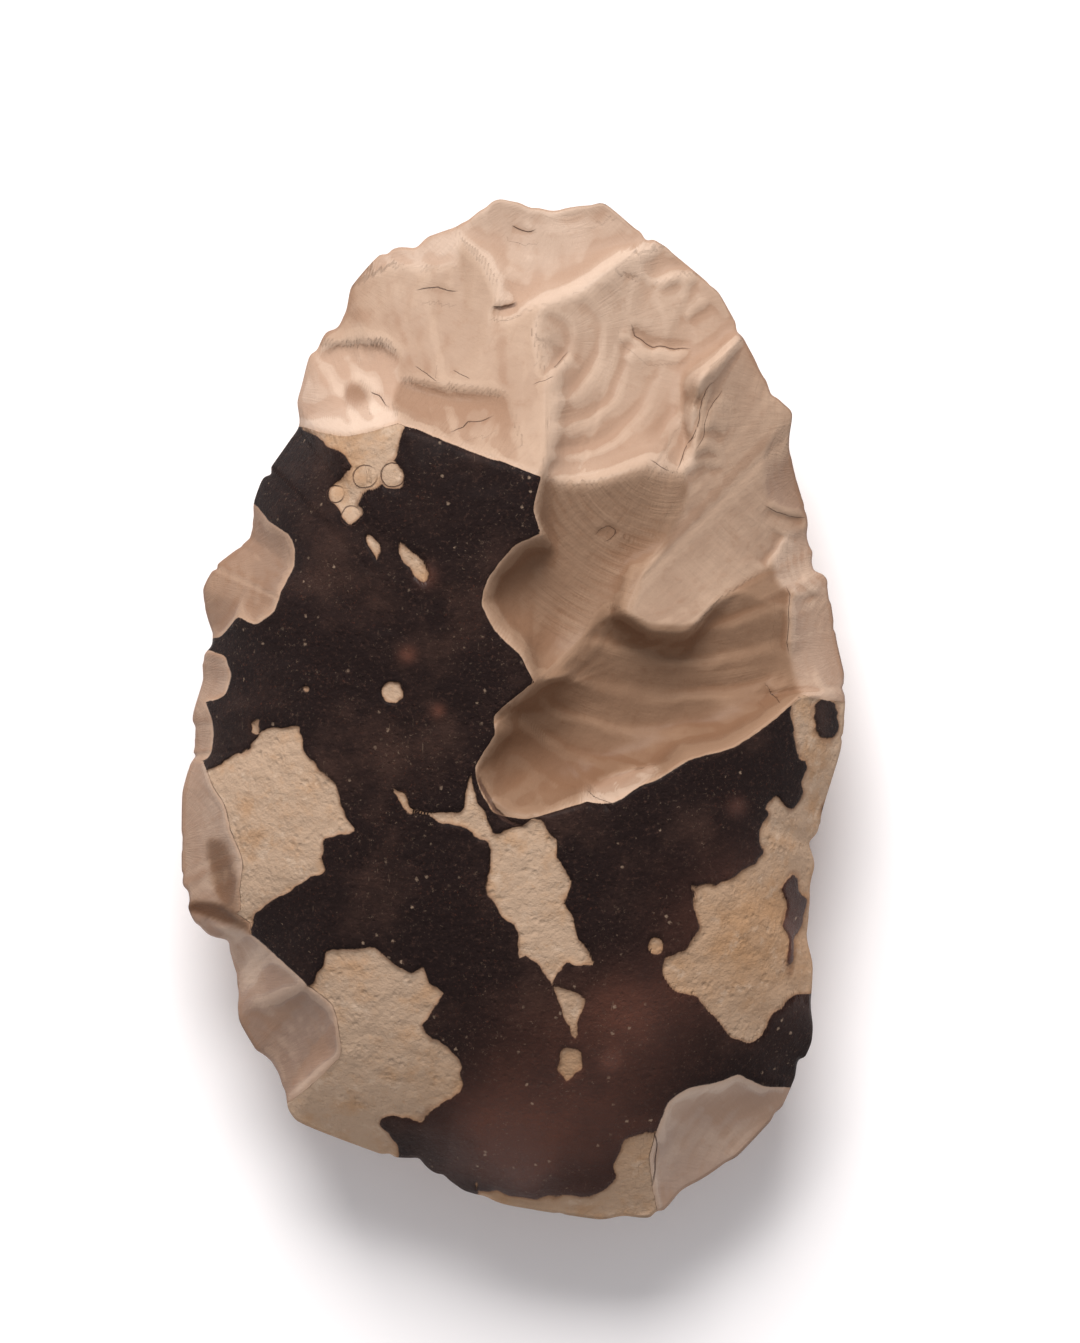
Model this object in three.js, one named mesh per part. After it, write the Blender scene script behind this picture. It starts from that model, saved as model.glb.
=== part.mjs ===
// Stone hand axe: one flaked stone lying on its back face, tip towards +Y, front face up (+Z).
// Flake scars are struck in order, oldest first. Along its rim a scar keeps the height of the
// surface it was struck from, and inside it dips by its hollow, so neighbours meet in ridges.
import * as THREE from "three";
import { mergeGeometries, mergeVertices } from "three/addons/utils/BufferGeometryUtils.js";

// Driving dimensions, in millimetres unless a comment says otherwise.
const EDGE_Z = 21; // mean height of the edge line over the resting face
const FRONT_RISE = 23; // front face above the edge line, before flaking
const BACK_DROP = 22.6; // back face below the edge line, before flaking and the flat spot
const HALF_WIDTH = 52; // of the smooth stone that the scars are struck from
const HALF_LENGTH = 80;
const WIDTH_TAPER = 0.1; // share of the width lost from the middle to the tip
const PLAN_SQUARENESS = 2.3; // exponent of the oval plan: 2 is an ellipse
const FACE_FULLNESS = 3.4; // exponent of the two faces: higher is flatter on top
const FALL_LIMIT = 1.12; // how far out, in ovals, the two faces go on falling
const EDGE_FADE = 7; // reach of the pull that brings both faces to one edge line
const THIN_SLOPE = 0.6; // least thickness near the edge, per millimetre in from it
const THIN_LIMIT = 5; // least thickness further in
const RIDGE_SOFTNESS = 1.5; // width over which a scar's rim is rounded
const RIM_STEPS = 24; // places round a scar's rim where the older surface is measured
const EDGE_STEPS = 360; // places round the edge line
const GRID = 46; // squares along each side of each face's grid

// The edge line in plan, clockwise from the tip.
const OUTLINE = [
  [-2, 80], [7, 79], [14, 79], [19, 75], [24, 72], [27.5, 69], [32, 65], [34.5, 60.5],
  [36.5, 56.5], [40.5, 49.5], [43.5, 46], [43.5, 38.5], [45, 33], [46.5, 29], [46.5, 25.5],
  [49, 20], [50.5, 10.5], [52, 3], [51, -6.5], [48, -16.5], [47, -26.5], [46, -35.5], [47, -40.5],
  [46.5, -52], [44, -57.5], [41.5, -63], [34.5, -70.5], [26, -76], [22, -79.5], [13.5, -80],
  [-5, -77], [-11.5, -73], [-21.5, -69.5], [-34, -64.5], [-38, -57.5], [-43, -49], [-43.5, -41.5],
  [-46, -38], [-50, -34], [-52, -27.5], [-52, -13.5], [-50, -6], [-50.5, -0.5], [-49, 4.5],
  [-49, 8.5], [-48, 13], [-49, 18.5], [-47, 22], [-41.5, 26.5], [-41, 31], [-39.5, 35.5],
  [-34, 43.5], [-34, 48], [-32, 55.5], [-26.5, 62.5], [-25.5, 66], [-21, 71], [-13, 74],
  [-9, 75.5], [-5.5, 78.5],
];

// Scars on the front face, oldest first, and how deep each dips. A rim beyond the edge runs off it.
const FRONT_SCARS = [
  { hollow: 2.6, rim: [[35, 58], [29, 52], [25, 48], [20, 42], [17, 32], [13, 23], [13, 11],
    [26, 7], [45, 9], [59, 18], [60, 43], [48, 64]] }, // right
  { hollow: 2.4, rim: [[7, 84], [-18, 81], [-30, 72], [-39, 59], [-43, 43], [-34, 44], [-17, 44],
    [-8, 40], [-2, 38], [7, 35], [13, 43], [13, 59], [11, 72]] }, // upper_left
  { hollow: 2.4, rim: [[3, 31], [4, 27], [0, 25], [-4, 20], [-5, 16], [-3, 12], [1, 8], [4, 3],
    [13, 4], [20, 21], [24, 26], [27, 34], [23, 43], [7, 42]] }, // middle
  { hollow: 2.8, rim: [[5, 35], [13, 35], [20, 37], [28, 36], [28, 42], [29, 48], [30, 52],
    [33, 55], [36, 58], [45, 65], [35, 76], [20, 78], [7, 68], [3, 59], [5, 50], [5, 41]] },
    // upper_right
  { hollow: 3.2, rim: [[3, 4], [5, 5], [10, 10], [14, 16], [21, 13], [28, 13], [32, 17], [40, 22],
    [52, 26], [63, 23], [63, 4], [52, 3], [45, 2], [40, -2], [34, -6], [27, -8], [22, -11],
    [16, -13], [9, -15], [2, -17], [-3, -16], [-5, -13], [-6, -9], [-3, -4], [-3, -1]] }, // large
  { hollow: 0.8, rim: [[15, 69], [19, 67], [22, 66], [26, 68], [34, 68], [29, 76], [21, 75]] },
    // right_top
  { hollow: 1.6, rim: [[-10, 75], [-7, 72], [-5, 70], [-3, 66], [-2, 60], [2, 62], [6, 63],
    [11, 65], [16, 69], [20, 72], [25, 72], [32, 79], [13, 89], [-8, 87]] }, // tip
  { hollow: 0.5, rim: [[-2, 80], [-1, 75], [4, 75], [10, 75], [16, 77], [17, 81], [7, 84], [-2, 83]]
    }, // tip_chip
  { hollow: 1.4, rim: [[-18, 51], [-11, 50], [-3, 49], [-1, 48], [1, 41], [-2, 38], [-8, 40],
    [-15, 43], [-18, 44], [-19, 48]] }, // left_tongue
  { hollow: 1.0, rim: [[-33, 44], [-38, 51], [-33, 57], [-27, 57], [-24, 57], [-20, 57], [-18, 54],
    [-18, 50], [-19, 48], [-18, 44], [-26, 42]] }, // left_notch
  { hollow: 0.8, rim: [[44, 44], [41, 43], [39, 40], [39, 36], [40, 32], [48, 31], [48, 43]] },
    // right_nick
  { hollow: 0.8, rim: [[40, 25], [42, 27], [45, 28], [52, 26], [54, 20], [49, 17], [43, 18],
    [41, 20]] }, // right_rough
  { hollow: 0.9, rim: [[43, 17], [46, 18], [54, 18], [57, 9], [55, 1], [45, 2], [43, 8]] },
    // right_low
  { hollow: 1.2, rim: [[-41, 32], [-38, 29], [-35, 27], [-34, 25], [-34, 22], [-36, 18], [-37, 15],
    [-40, 13], [-43, 14], [-46, 11], [-54, 11], [-54, 23], [-48, 31]] }, // left_high
  { hollow: 0.6, rim: [[-44, 5], [-45, 8], [-48, 9], [-52, 8], [-52, 2], [-48, 1], [-45, 2]] },
    // left_mid
  { hollow: 0.5, rim: [[-55, 1], [-49, 2], [-47, -2], [-47, -6], [-48, -8], [-55, -9]] },
    // left_low
  { hollow: 1.1, rim: [[-57, -9], [-49, -8], [-47, -12], [-45, -15], [-44, -19], [-42, -24],
    [-43, -30], [-45, -34], [-52, -36], [-58, -25]] }, // left_foot
  { hollow: 1.3, rim: [[-52, -32], [-47, -33], [-41, -35], [-35, -40], [-32, -43], [-35, -48],
    [-42, -50], [-49, -52], [-57, -39]] }, // heel_upper
  { hollow: 1.3, rim: [[-32, -43], [-28, -46], [-27, -51], [-27, -54], [-32, -59], [-36, -62],
    [-43, -63], [-47, -53], [-43, -47], [-37, -45]] }, // heel_lower
  { hollow: 1.5, rim: [[21, -70], [22, -66], [24, -61], [27, -59], [32, -58], [35, -57], [39, -59],
    [45, -60], [49, -69], [35, -83], [24, -83], [22, -77]] }, // butt_right
];

// Scars on the back face, oldest first.
const BACK_SCARS = [
  { hollow: 2.0, rim: [[8, 22], [6, 52], [24, 72], [60, 60], [70, 20], [52, 2], [24, 4]] },
    // right_up
  { hollow: 2.0, rim: [[-70, -16], [-70, 22], [-44, 34], [-12, 26], [-4, 6], [-14, -14], [-40, -24]]
    }, // left_mid
  { hollow: 2.0, rim: [[70, -32], [72, 14], [46, 20], [16, 14], [4, -6], [14, -26], [40, -38]] },
    // right_mid
  { hollow: 1.8, rim: [[-70, -66], [-72, -20], [-46, -12], [-18, -20], [-8, -40], [-22, -60],
    [-44, -78]] }, // left_low
  { hollow: 1.8, rim: [[66, -72], [70, -30], [44, -24], [18, -30], [8, -48], [16, -68], [36, -86]]
    }, // right_low
  { hollow: 1.8, rim: [[-60, 28], [-54, 66], [-20, 80], [-4, 62], [-4, 38], [-18, 24], [-40, 20]] },
    // left_up
  { hollow: 1.4, rim: [[-26, 98], [-22, 66], [-8, 46], [6, 42], [16, 58], [22, 74], [24, 98]] },
    // tip
  { hollow: 1.8, rim: [[-30, -96], [-26, -66], [-8, -54], [12, -58], [26, -74], [24, -98]] },
    // heel
  { hollow: 1.0, rim: [[-70, -4], [-56, 10], [-44, 6], [-40, -6], [-46, -18], [-60, -22]] },
    // edge_left
  { hollow: 1.0, rim: [[70, 34], [50, 40], [38, 32], [38, 18], [46, 8], [66, 6]] }, // edge_right
  { hollow: 1.0, rim: [[-52, 62], [-36, 58], [-28, 46], [-34, 34], [-50, 30], [-64, 44]] },
    // edge_up
  { hollow: 1.0, rim: [[68, -52], [50, -50], [42, -38], [46, -24], [60, -20], [72, -30]] },
    // edge_low
];

const TURN = 2 * Math.PI;
const turned = (angle) => ((angle % TURN) + TURN) % TURN;
const smoothStep = (t) => THREE.MathUtils.smoothstep(t, 0, 1);

// Values held at equal steps round a turn, read at any angle.
function readRound(values, angle) {
  const at = (turned(angle) / TURN) * values.length;
  const i = Math.floor(at) % values.length;
  return THREE.MathUtils.lerp(values[i], values[(i + 1) % values.length], at - Math.floor(at));
}

// Each value mixed with half of each neighbour's.
const evened = (values) =>
  values.map((v, i) => v / 2 + (values.at(i - 1) + values[(i + 1) % values.length]) / 4);

// A closed outline, held as its distance from a centre at any angle.
class Rim {
  constructor(points, centre, divisions) {
    const corners = points.map(([x, y]) => new THREE.Vector3(x, y, 0));
    const curve = new THREE.CatmullRomCurve3(corners, true, "catmullrom", 0.25);
    const path = curve.getPoints(points.length * divisions).slice(0, -1);
    this.box = new THREE.Box3().setFromPoints(path);
    this.centre = centre ?? path.reduce((sum, p) => sum.add(p), new THREE.Vector3())
      .divideScalar(path.length);
    this.polar = path
      .map((p) => p.clone().sub(this.centre))
      .map((p) => [turned(Math.atan2(p.y, p.x)), Math.hypot(p.x, p.y)])
      .sort((a, b) => a[0] - b[0]);
  }

  reach(angle) {
    const a = turned(angle);
    const next = this.polar.findIndex(([b]) => b > a);
    const [b1, r1] = this.polar.at(next < 0 ? 0 : next);
    const [b0, r0] = this.polar.at(next < 0 ? -1 : next - 1);
    const gap = turned(b1 - b0);
    return gap ? THREE.MathUtils.lerp(r0, r1, turned(a - b0) / gap) : r1;
  }
}

// Weights of the terms that fit the heights best, by least squares.
function fit(rows, heights) {
  const n = rows[0].length;
  const system = rows[0].map((_, i) => [
    ...rows[0].map((_, j) => rows.reduce((sum, row) => sum + row[i] * row[j], 0)),
    rows.reduce((sum, row, k) => sum + row[i] * heights[k], 0),
  ]);
  for (let i = 0; i < n; i++)
    for (let j = 0; j < n; j++) {
      if (i === j) continue;
      const share = system[j][i] / system[i][i];
      system[j] = system[j].map((v, k) => v - share * system[i][k]);
    }
  return system.map((row, i) => row[n] / row[i]);
}

// One flake scar: a tilted saddle fitted to the older heights along its rim, dished by its
// hollow, plus what the fit left over at the rim, fading with the fourth power of the distance.
class Scar extends Rim {
  constructor({ rim, hollow }, older) {
    super(rim, undefined, 6);
    this.hollow = hollow;
    const steps = Array.from({ length: RIM_STEPS }, (_, i) => (i * TURN) / RIM_STEPS);
    const spots = steps.map((a) => [this.reach(a) * Math.cos(a), this.reach(a) * Math.sin(a)]);
    const spread = (k) => Math.sqrt((2 * spots.reduce((s, p) => s + p[k] ** 2, 0)) / RIM_STEPS);
    this.size = [spread(0), spread(1)];
    const heights = spots.map(([u, v]) => older(this.centre.x + u, this.centre.y + v));
    this.weights = fit(spots.map(([u, v]) => this.terms(u, v)), heights);
    this.leftOver = evened(heights.map((h, i) => h - this.dish(...spots[i])));
  }

  terms(u, v) {
    const [s, t] = [u / this.size[0], v / this.size[1]];
    return [1, s, t, s * s - t * t, s * t];
  }

  dish(u, v) {
    const [s, t] = [u / this.size[0], v / this.size[1]];
    const saddle = this.terms(u, v).reduce((sum, term, i) => sum + term * this.weights[i], 0);
    return saddle - this.hollow * (1 - (s * s + t * t) / 2);
  }

  // The surface after this flake, where the older surface stood at z.
  strike(x, y, z) {
    const [u, v] = [x - this.centre.x, y - this.centre.y];
    const angle = Math.atan2(v, u);
    const reach = this.reach(angle);
    const out = Math.min(Math.hypot(u, v) / reach, 1.3);
    const mix = smoothStep((reach - Math.hypot(u, v)) / RIDGE_SOFTNESS + 0.5);
    const mine = this.dish(u, v) + readRound(this.leftOver, angle) * out ** 4;
    return THREE.MathUtils.lerp(z, mine, mix);
  }
}

// One face: a smooth bulge over an oval plan, then its scars in order.
class Face {
  constructor(height, scars) {
    this.height = height;
    this.scars = [];
    for (const scar of scars) this.scars.push(new Scar(scar, (x, y) => this.at(x, y)));
  }

  at(x, y) {
    const width = HALF_WIDTH * (1 - (WIDTH_TAPER * y) / HALF_LENGTH);
    const oval =
      (Math.abs(x / width) ** PLAN_SQUARENESS + Math.abs(y / HALF_LENGTH) ** PLAN_SQUARENESS) **
      (1 / PLAN_SQUARENESS);
    const bulge = EDGE_Z + this.height * (1 - Math.min(oval, FALL_LIMIT) ** FACE_FULLNESS);
    return this.scars.reduce((z, scar) => scar.strike(x, y, z), bulge);
  }
}

const outline = new Rim(OUTLINE, new THREE.Vector3(), 24);
const middle = outline.box.getCenter(new THREE.Vector3());
const front = new Face(FRONT_RISE, FRONT_SCARS);
const back = new Face(-BACK_DROP, BACK_SCARS);

// The edge line runs midway between the two faces.
const angles = Array.from({ length: EDGE_STEPS }, (_, i) => (i * TURN) / EDGE_STEPS);
const onEdge = (face) =>
  angles.map((a) => face.at(outline.reach(a) * Math.cos(a), outline.reach(a) * Math.sin(a)));
const frontRim = onEdge(front);
const backRim = onEdge(back);
let edgeLine = frontRim.map((z, i) => (z + backRim[i]) / 2);
for (let i = 0; i < 3; i++) edgeLine = evened(edgeLine);

function faceHeight(face, rim, x, y, gap) {
  const angle = Math.atan2(y, x);
  const pull = readRound(edgeLine, angle) - readRound(rim, angle);
  return face.at(x, y) + pull * Math.exp(-gap / EDGE_FADE);
}

const frontHeight = (x, y, gap) => faceHeight(front, frontRim, x, y, gap);
const backHeight = (x, y, gap) =>
  Math.min(
    Math.max(faceHeight(back, backRim, x, y, gap), 0), // cut flat where it rests
    frontHeight(x, y, gap) - Math.min(THIN_SLOPE * gap, THIN_LIMIT),
  );

// A square sheet, its squares spread evenly over the outline and lifted to the face.
function bentSheet(sheet, height) {
  const place = sheet.getAttribute("position");
  for (let i = 0; i < place.count; i++) {
    const [a, b] = [place.getX(i), place.getY(i)];
    const out = Math.max(Math.abs(a), Math.abs(b));
    const across = Math.abs(a) >= Math.abs(b);
    const angle = out
      ? across
        ? (Math.PI / 4) * (b / a) + (a < 0 ? Math.PI : 0)
        : Math.PI / 2 - (Math.PI / 4) * (a / b) + (b < 0 ? Math.PI : 0)
      : 0;
    const reach = outline.reach(angle);
    const [x, y] = [out * reach * Math.cos(angle), out * reach * Math.sin(angle)];
    const z = out > 1 - 1e-6 ? readRound(edgeLine, angle) : height(x, y, reach * (1 - out));
    place.setXYZ(i, x - middle.x, y - middle.y, z);
  }
  return sheet.deleteAttribute("normal").deleteAttribute("uv");
}

const upper = bentSheet(new THREE.PlaneGeometry(2, 2, GRID, GRID), frontHeight);
const lower = bentSheet(new THREE.PlaneGeometry(2, 2, GRID, GRID).rotateY(Math.PI), backHeight);
const stone = mergeVertices(mergeGeometries([upper, lower]), 1e-3);
stone.computeVertexNormals();

const flint = new THREE.MeshStandardMaterial({ color: 0x6b5546, roughness: 0.6, metalness: 0 });
const axe = new THREE.Mesh(stone, flint);
axe.name = "hand_axe";

const root = new THREE.Group();
root.add(axe);
export default root;
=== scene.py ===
from math import pi, radians
from types import SimpleNamespace
from typing import NamedTuple

import bpy
import numpy as np
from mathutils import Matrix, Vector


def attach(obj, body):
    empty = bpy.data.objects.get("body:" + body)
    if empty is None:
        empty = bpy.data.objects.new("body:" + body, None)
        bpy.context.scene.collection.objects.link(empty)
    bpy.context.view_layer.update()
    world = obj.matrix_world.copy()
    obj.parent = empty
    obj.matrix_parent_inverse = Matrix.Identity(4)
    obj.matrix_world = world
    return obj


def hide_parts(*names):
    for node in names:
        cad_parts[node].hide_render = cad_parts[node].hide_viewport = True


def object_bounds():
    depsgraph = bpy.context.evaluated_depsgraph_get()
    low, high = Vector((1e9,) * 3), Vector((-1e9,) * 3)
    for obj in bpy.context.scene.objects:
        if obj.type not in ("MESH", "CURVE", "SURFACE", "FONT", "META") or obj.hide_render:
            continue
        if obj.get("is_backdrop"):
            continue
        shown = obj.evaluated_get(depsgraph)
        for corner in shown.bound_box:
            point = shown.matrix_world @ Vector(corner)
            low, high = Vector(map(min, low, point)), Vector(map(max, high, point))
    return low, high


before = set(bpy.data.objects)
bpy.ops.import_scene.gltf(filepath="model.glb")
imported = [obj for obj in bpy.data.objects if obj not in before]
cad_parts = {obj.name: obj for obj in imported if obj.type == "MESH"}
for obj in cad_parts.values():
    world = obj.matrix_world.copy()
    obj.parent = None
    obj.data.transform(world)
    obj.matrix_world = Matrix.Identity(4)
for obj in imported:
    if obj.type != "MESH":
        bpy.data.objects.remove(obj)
CAD_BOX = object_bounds()

bl_info = {
    "name": "Stone hand axe",
    "version": (1, 0, 0),
    "blender": (4, 5, 0),
    "location": "View3D > Sidebar > Hand axe",
    "description": "Builds a flaked stone hand axe with dark skin and chalky patches, and its stage",
    "category": "Add Mesh",
}

# The stone is worked out in millimetres and put into the mesh in metres.
MM = 0.001
# Farther inside or outside an outline than any point of the stone, in millimetres.
FAR = 99.0
# The camera's sensor in millimetres, and the picture's height over its width.
SENSOR, PICTURE_SHAPE = 36, 1343 / 1080


class Flake(NamedTuple):
    """One flake scar, in millimetres."""
    name: str
    hollow: float  # how deep it dips
    struck: tuple  # the point it was struck from
    spacing: float  # of its ripples
    rim: list
    ripple: float = 0  # height of its ripples
    bowl: float = 2  # how flat its floor is, 2 is round
    lean: tuple = (0, 0)  # which way it is deeper
    tone: float = 0  # 0 tan to 1 grey
    # shade is partly painted shade, lower for scars that faced away from the light, and partly their
    # browner patina
    shade: float = 1  # brightness


class Mark(NamedTuple):
    """A crack, hinge or small step, in millimetres."""
    name: str
    line: list
    dark: float = 0  # half the width of its dark line
    groove: float = 0  # how deep it is cut
    lift: float = 0  # how far the left side of the line stands above the right


class Lumps(NamedTuple):
    """Random relief, in millimetres."""
    size: float  # of the largest lumps
    height: float
    seed: int
    octaves: int = 1


# The edge line in plan, clockwise from the tip.
OUTLINE = [
    (-2, 80), (7, 79), (14, 79), (19, 75), (24, 72), (27.5, 69), (32, 65), (34.5, 60.5), (36.5, 56.5),
    (40.5, 49.5), (43.5, 46), (43.5, 38.5), (45, 33), (46.5, 29), (46.5, 25.5), (49, 20), (50.5, 10.5),
    (52, 3), (51, -6.5), (48, -16.5), (47, -26.5), (46, -35.5), (47, -40.5), (46.5, -52), (44, -57.5),
    (41.5, -63), (34.5, -70.5), (26, -76), (22, -79.5), (13.5, -80), (-5, -77), (-11.5, -73),
    (-21.5, -69.5), (-34, -64.5), (-38, -57.5), (-43, -49), (-43.5, -41.5), (-46, -38), (-50, -34),
    (-52, -27.5), (-52, -13.5), (-50, -6), (-50.5, -0.5), (-49, 4.5), (-49, 8.5), (-48, 13),
    (-49, 18.5), (-47, 22), (-41.5, 26.5), (-41, 31), (-39.5, 35.5), (-34, 43.5), (-34, 48),
    (-32, 55.5), (-26.5, 62.5), (-25.5, 66), (-21, 71), (-13, 74), (-9, 75.5), (-5.5, 78.5),
]

# The scars of each face, oldest first.
FRONT_SCARS = [
    Flake("right", hollow=3.6, bowl=2.5, lean=(0.15, -0.65), tone=0.1, shade=0.72, struck=(52, 46),
          spacing=3.6, ripple=0.05,
          rim=[(35, 58), (29, 52), (25, 48), (20, 42), (17, 32), (13, 23), (13, 11), (26, 7), (45, 9),
               (59, 18), (60, 43), (48, 64)]),
    Flake("upper_left", hollow=3.6, lean=(0.3, -0.1), shade=0.76, struck=(-30, 70), spacing=4, ripple=0.05,
          rim=[(7, 84), (-18, 81), (-30, 72), (-39, 59), (-43, 43), (-34, 44), (-17, 44), (-8, 40),
               (-2, 38), (7, 35), (13, 43), (13, 59), (11, 72)]),
    Flake("middle", hollow=5.5, bowl=3.5, lean=(-0.35, -0.8), tone=0.1, shade=0.54, struck=(24, 42),
          spacing=1.7, ripple=0.07,
          rim=[(3, 31), (4, 27), (0, 25), (-4, 20), (-5, 16), (-3, 12), (1, 8), (4, 3), (13, 4), (20, 21),
               (24, 26), (27, 34), (23, 43), (7, 42)]),
    Flake("upper_right", hollow=4.6, lean=(-0.2, -0.5), shade=0.86, struck=(5, 57), spacing=4.6,
          ripple=0.36,
          rim=[(5, 35), (13, 35), (20, 37), (28, 36), (28, 42), (29, 48), (30, 52), (33, 55), (36, 58),
               (45, 65), (35, 76), (20, 78), (7, 68), (3, 59), (5, 50), (5, 41)]),
    Flake("large", hollow=7, bowl=3, lean=(-0.1, -0.85), tone=0.15, shade=0.48, struck=(27, 46),
          spacing=5.5, ripple=0.4,
          rim=[(3, 4), (5, 5), (10, 10), (14, 16), (21, 13), (28, 13), (32, 17), (40, 22), (52, 26),
               (63, 23), (63, 4), (52, 3), (45, 2), (40, -2), (34, -6), (27, -8), (22, -11), (16, -13),
               (9, -15), (2, -17), (-3, -16), (-5, -13), (-6, -9), (-3, -4), (-3, -1)]),
    Flake("right_top", hollow=1.4, shade=0.9, struck=(32, 72), spacing=2.5, ripple=0.04,
          rim=[(15, 69), (19, 67), (22, 66), (26, 68), (34, 68), (29, 76), (21, 75)]),
    Flake("tip", hollow=3, lean=(-0.1, -0.5), shade=0.96, struck=(8, 84), spacing=3.5, ripple=0.05,
          rim=[(-10, 75), (-7, 72), (-5, 70), (-3, 66), (-2, 60), (2, 62), (6, 63), (11, 65), (16, 69),
               (20, 72), (25, 72), (32, 79), (13, 89), (-8, 87)]),
    Flake("tip_chip", hollow=0.5, shade=0.95, struck=(8, 82), spacing=2, ripple=0.03,
          rim=[(-2, 80), (-1, 75), (4, 75), (10, 75), (16, 77), (17, 81), (7, 84), (-2, 83)]),
    Flake("left_tongue", hollow=2.6, lean=(-0.2, 0.5), tone=0.1, shade=0.72, struck=(-22, 52), spacing=1.5,
          ripple=0.04,
          rim=[(-18, 51), (-11, 50), (-3, 49), (-1, 48), (1, 41), (-2, 38), (-8, 40), (-15, 43), (-18, 44),
               (-19, 48)]),
    Flake("left_notch", hollow=1.7, lean=(0, 0.3), shade=0.98, struck=(-38, 50), spacing=2.4, ripple=0.03,
          rim=[(-33, 44), (-38, 51), (-33, 57), (-27, 57), (-24, 57), (-20, 57), (-18, 54), (-18, 50),
               (-19, 48), (-18, 44), (-26, 42)]),
    Flake("right_nick", hollow=0.9, tone=0.8, shade=0.7, struck=(48, 38), spacing=1.5, ripple=0.04,
          rim=[(44, 44), (41, 43), (39, 40), (39, 36), (40, 32), (48, 31), (48, 43)]),
    Flake("right_rough", hollow=0.9, tone=0.4, shade=0.85, struck=(52, 24), spacing=1.2, ripple=0.08,
          rim=[(40, 25), (42, 27), (45, 28), (52, 26), (54, 20), (49, 17), (43, 18), (41, 20)]),
    Flake("right_low", hollow=1, tone=0.4, shade=0.8, struck=(56, 10), spacing=1.6, ripple=0.05,
          rim=[(43, 17), (46, 18), (54, 18), (57, 9), (55, 1), (45, 2), (43, 8)]),
    Flake("left_high", hollow=1.9, lean=(0.2, 0), tone=0.6, shade=0.62, struck=(-50, 20), spacing=2,
          ripple=0.05,
          rim=[(-41, 32), (-38, 29), (-35, 27), (-34, 25), (-34, 22), (-36, 18), (-37, 15), (-40, 13),
               (-43, 14), (-46, 11), (-54, 11), (-54, 23), (-48, 31)]),
    Flake("left_mid", hollow=0.6, tone=0.7, shade=0.75, struck=(-52, 5), spacing=1.4, ripple=0.03,
          rim=[(-44, 5), (-45, 8), (-48, 9), (-52, 8), (-52, 2), (-48, 1), (-45, 2)]),
    Flake("left_low", hollow=0.5, tone=0.4, shade=0.75, struck=(-54, -4), spacing=1.4, ripple=0.03,
          rim=[(-55, 1), (-49, 2), (-47, -2), (-47, -6), (-48, -8), (-55, -9)]),
    Flake("left_foot", hollow=1.1, tone=0.35, shade=0.8, struck=(-56, -22), spacing=1.8, ripple=0.05,
          rim=[(-57, -9), (-49, -8), (-47, -12), (-45, -15), (-44, -19), (-42, -24), (-43, -30), (-45, -34),
               (-52, -36), (-58, -25)]),
    Flake("upper_left_rim", hollow=0.7, shade=1.02, struck=(-20, 80), spacing=2, ripple=0.03,
          rim=[(-26, 66), (-21.3, 69.5), (-15, 68.7), (-9, 69.2), (-8.5, 72), (-10, 77), (-18, 76),
               (-26, 71)]),
    Flake("square_chip", hollow=0.7, lean=(0, 0.5), tone=0.3, shade=0.62, struck=(30, 52), spacing=2,
          rim=[(26, 48.8), (27.8, 49.5), (29.6, 48.1), (28.5, 46.5), (26.9, 47.1)]),
    Flake("oval", hollow=0.4, lean=(0, 0.4), tone=0.9, shade=0.66, struck=(-30, 52), spacing=2,
          rim=[(-26.8, 49.2), (-25.6, 50.4), (-24, 50.5), (-22.4, 49.3), (-22.3, 48.1), (-24, 47.4),
               (-26, 47.9)]),
    Flake("large_step", hollow=0.8, lean=(0, 0.4), tone=0.1, shade=0.85, struck=(20, 4), spacing=2,
          rim=[(9.8, -14), (11.4, -12.3), (15.8, -10.3), (21.3, -8.8), (22, -10), (18.1, -12.8),
               (15.3, -14.5), (12.2, -14.5)]),
    Flake("left_pitted", hollow=0.7, tone=0.8, shade=0.45, struck=(-54, -26), spacing=1.5, ripple=0.08,
          rim=[(-47.8, -20.5), (-45, -21), (-42.8, -27), (-42.5, -31.5), (-44.5, -32), (-46.8, -28)]),
    Flake("left_step", hollow=0.9, tone=0.6, shade=0.3, struck=(-54, -30), spacing=1.5, ripple=0.02,
          rim=[(-52, -30.5), (-46, -30.4), (-41, -33.4), (-41.6, -35.2), (-47, -34), (-53, -34.5)]),
    Flake("heel_upper", hollow=2, lean=(0, -0.3), tone=0.9, shade=0.85, struck=(-54, -44), spacing=2.6,
          ripple=0.05,
          rim=[(-52, -32), (-47, -33), (-41, -35), (-35, -40), (-32, -43), (-35, -48), (-42, -50),
               (-49, -52), (-57, -39)]),
    Flake("heel_lower", hollow=2, lean=(0.3, 0), tone=1, shade=0.78, struck=(-46, -60), spacing=2.4,
          ripple=0.05,
          rim=[(-32, -43), (-28, -46), (-27, -51), (-27, -54), (-32, -59), (-36, -62), (-43, -63),
               (-47, -53), (-43, -47), (-37, -45)]),
    Flake("butt_right", hollow=2.2, lean=(-0.3, 0.3), tone=0.7, struck=(44, -76), spacing=2.2, ripple=0.07,
          rim=[(21, -70), (22, -66), (24, -61), (27, -59), (32, -58), (35, -57), (39, -59), (45, -60),
               (49, -69), (35, -83), (24, -83), (22, -77)]),
]
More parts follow.
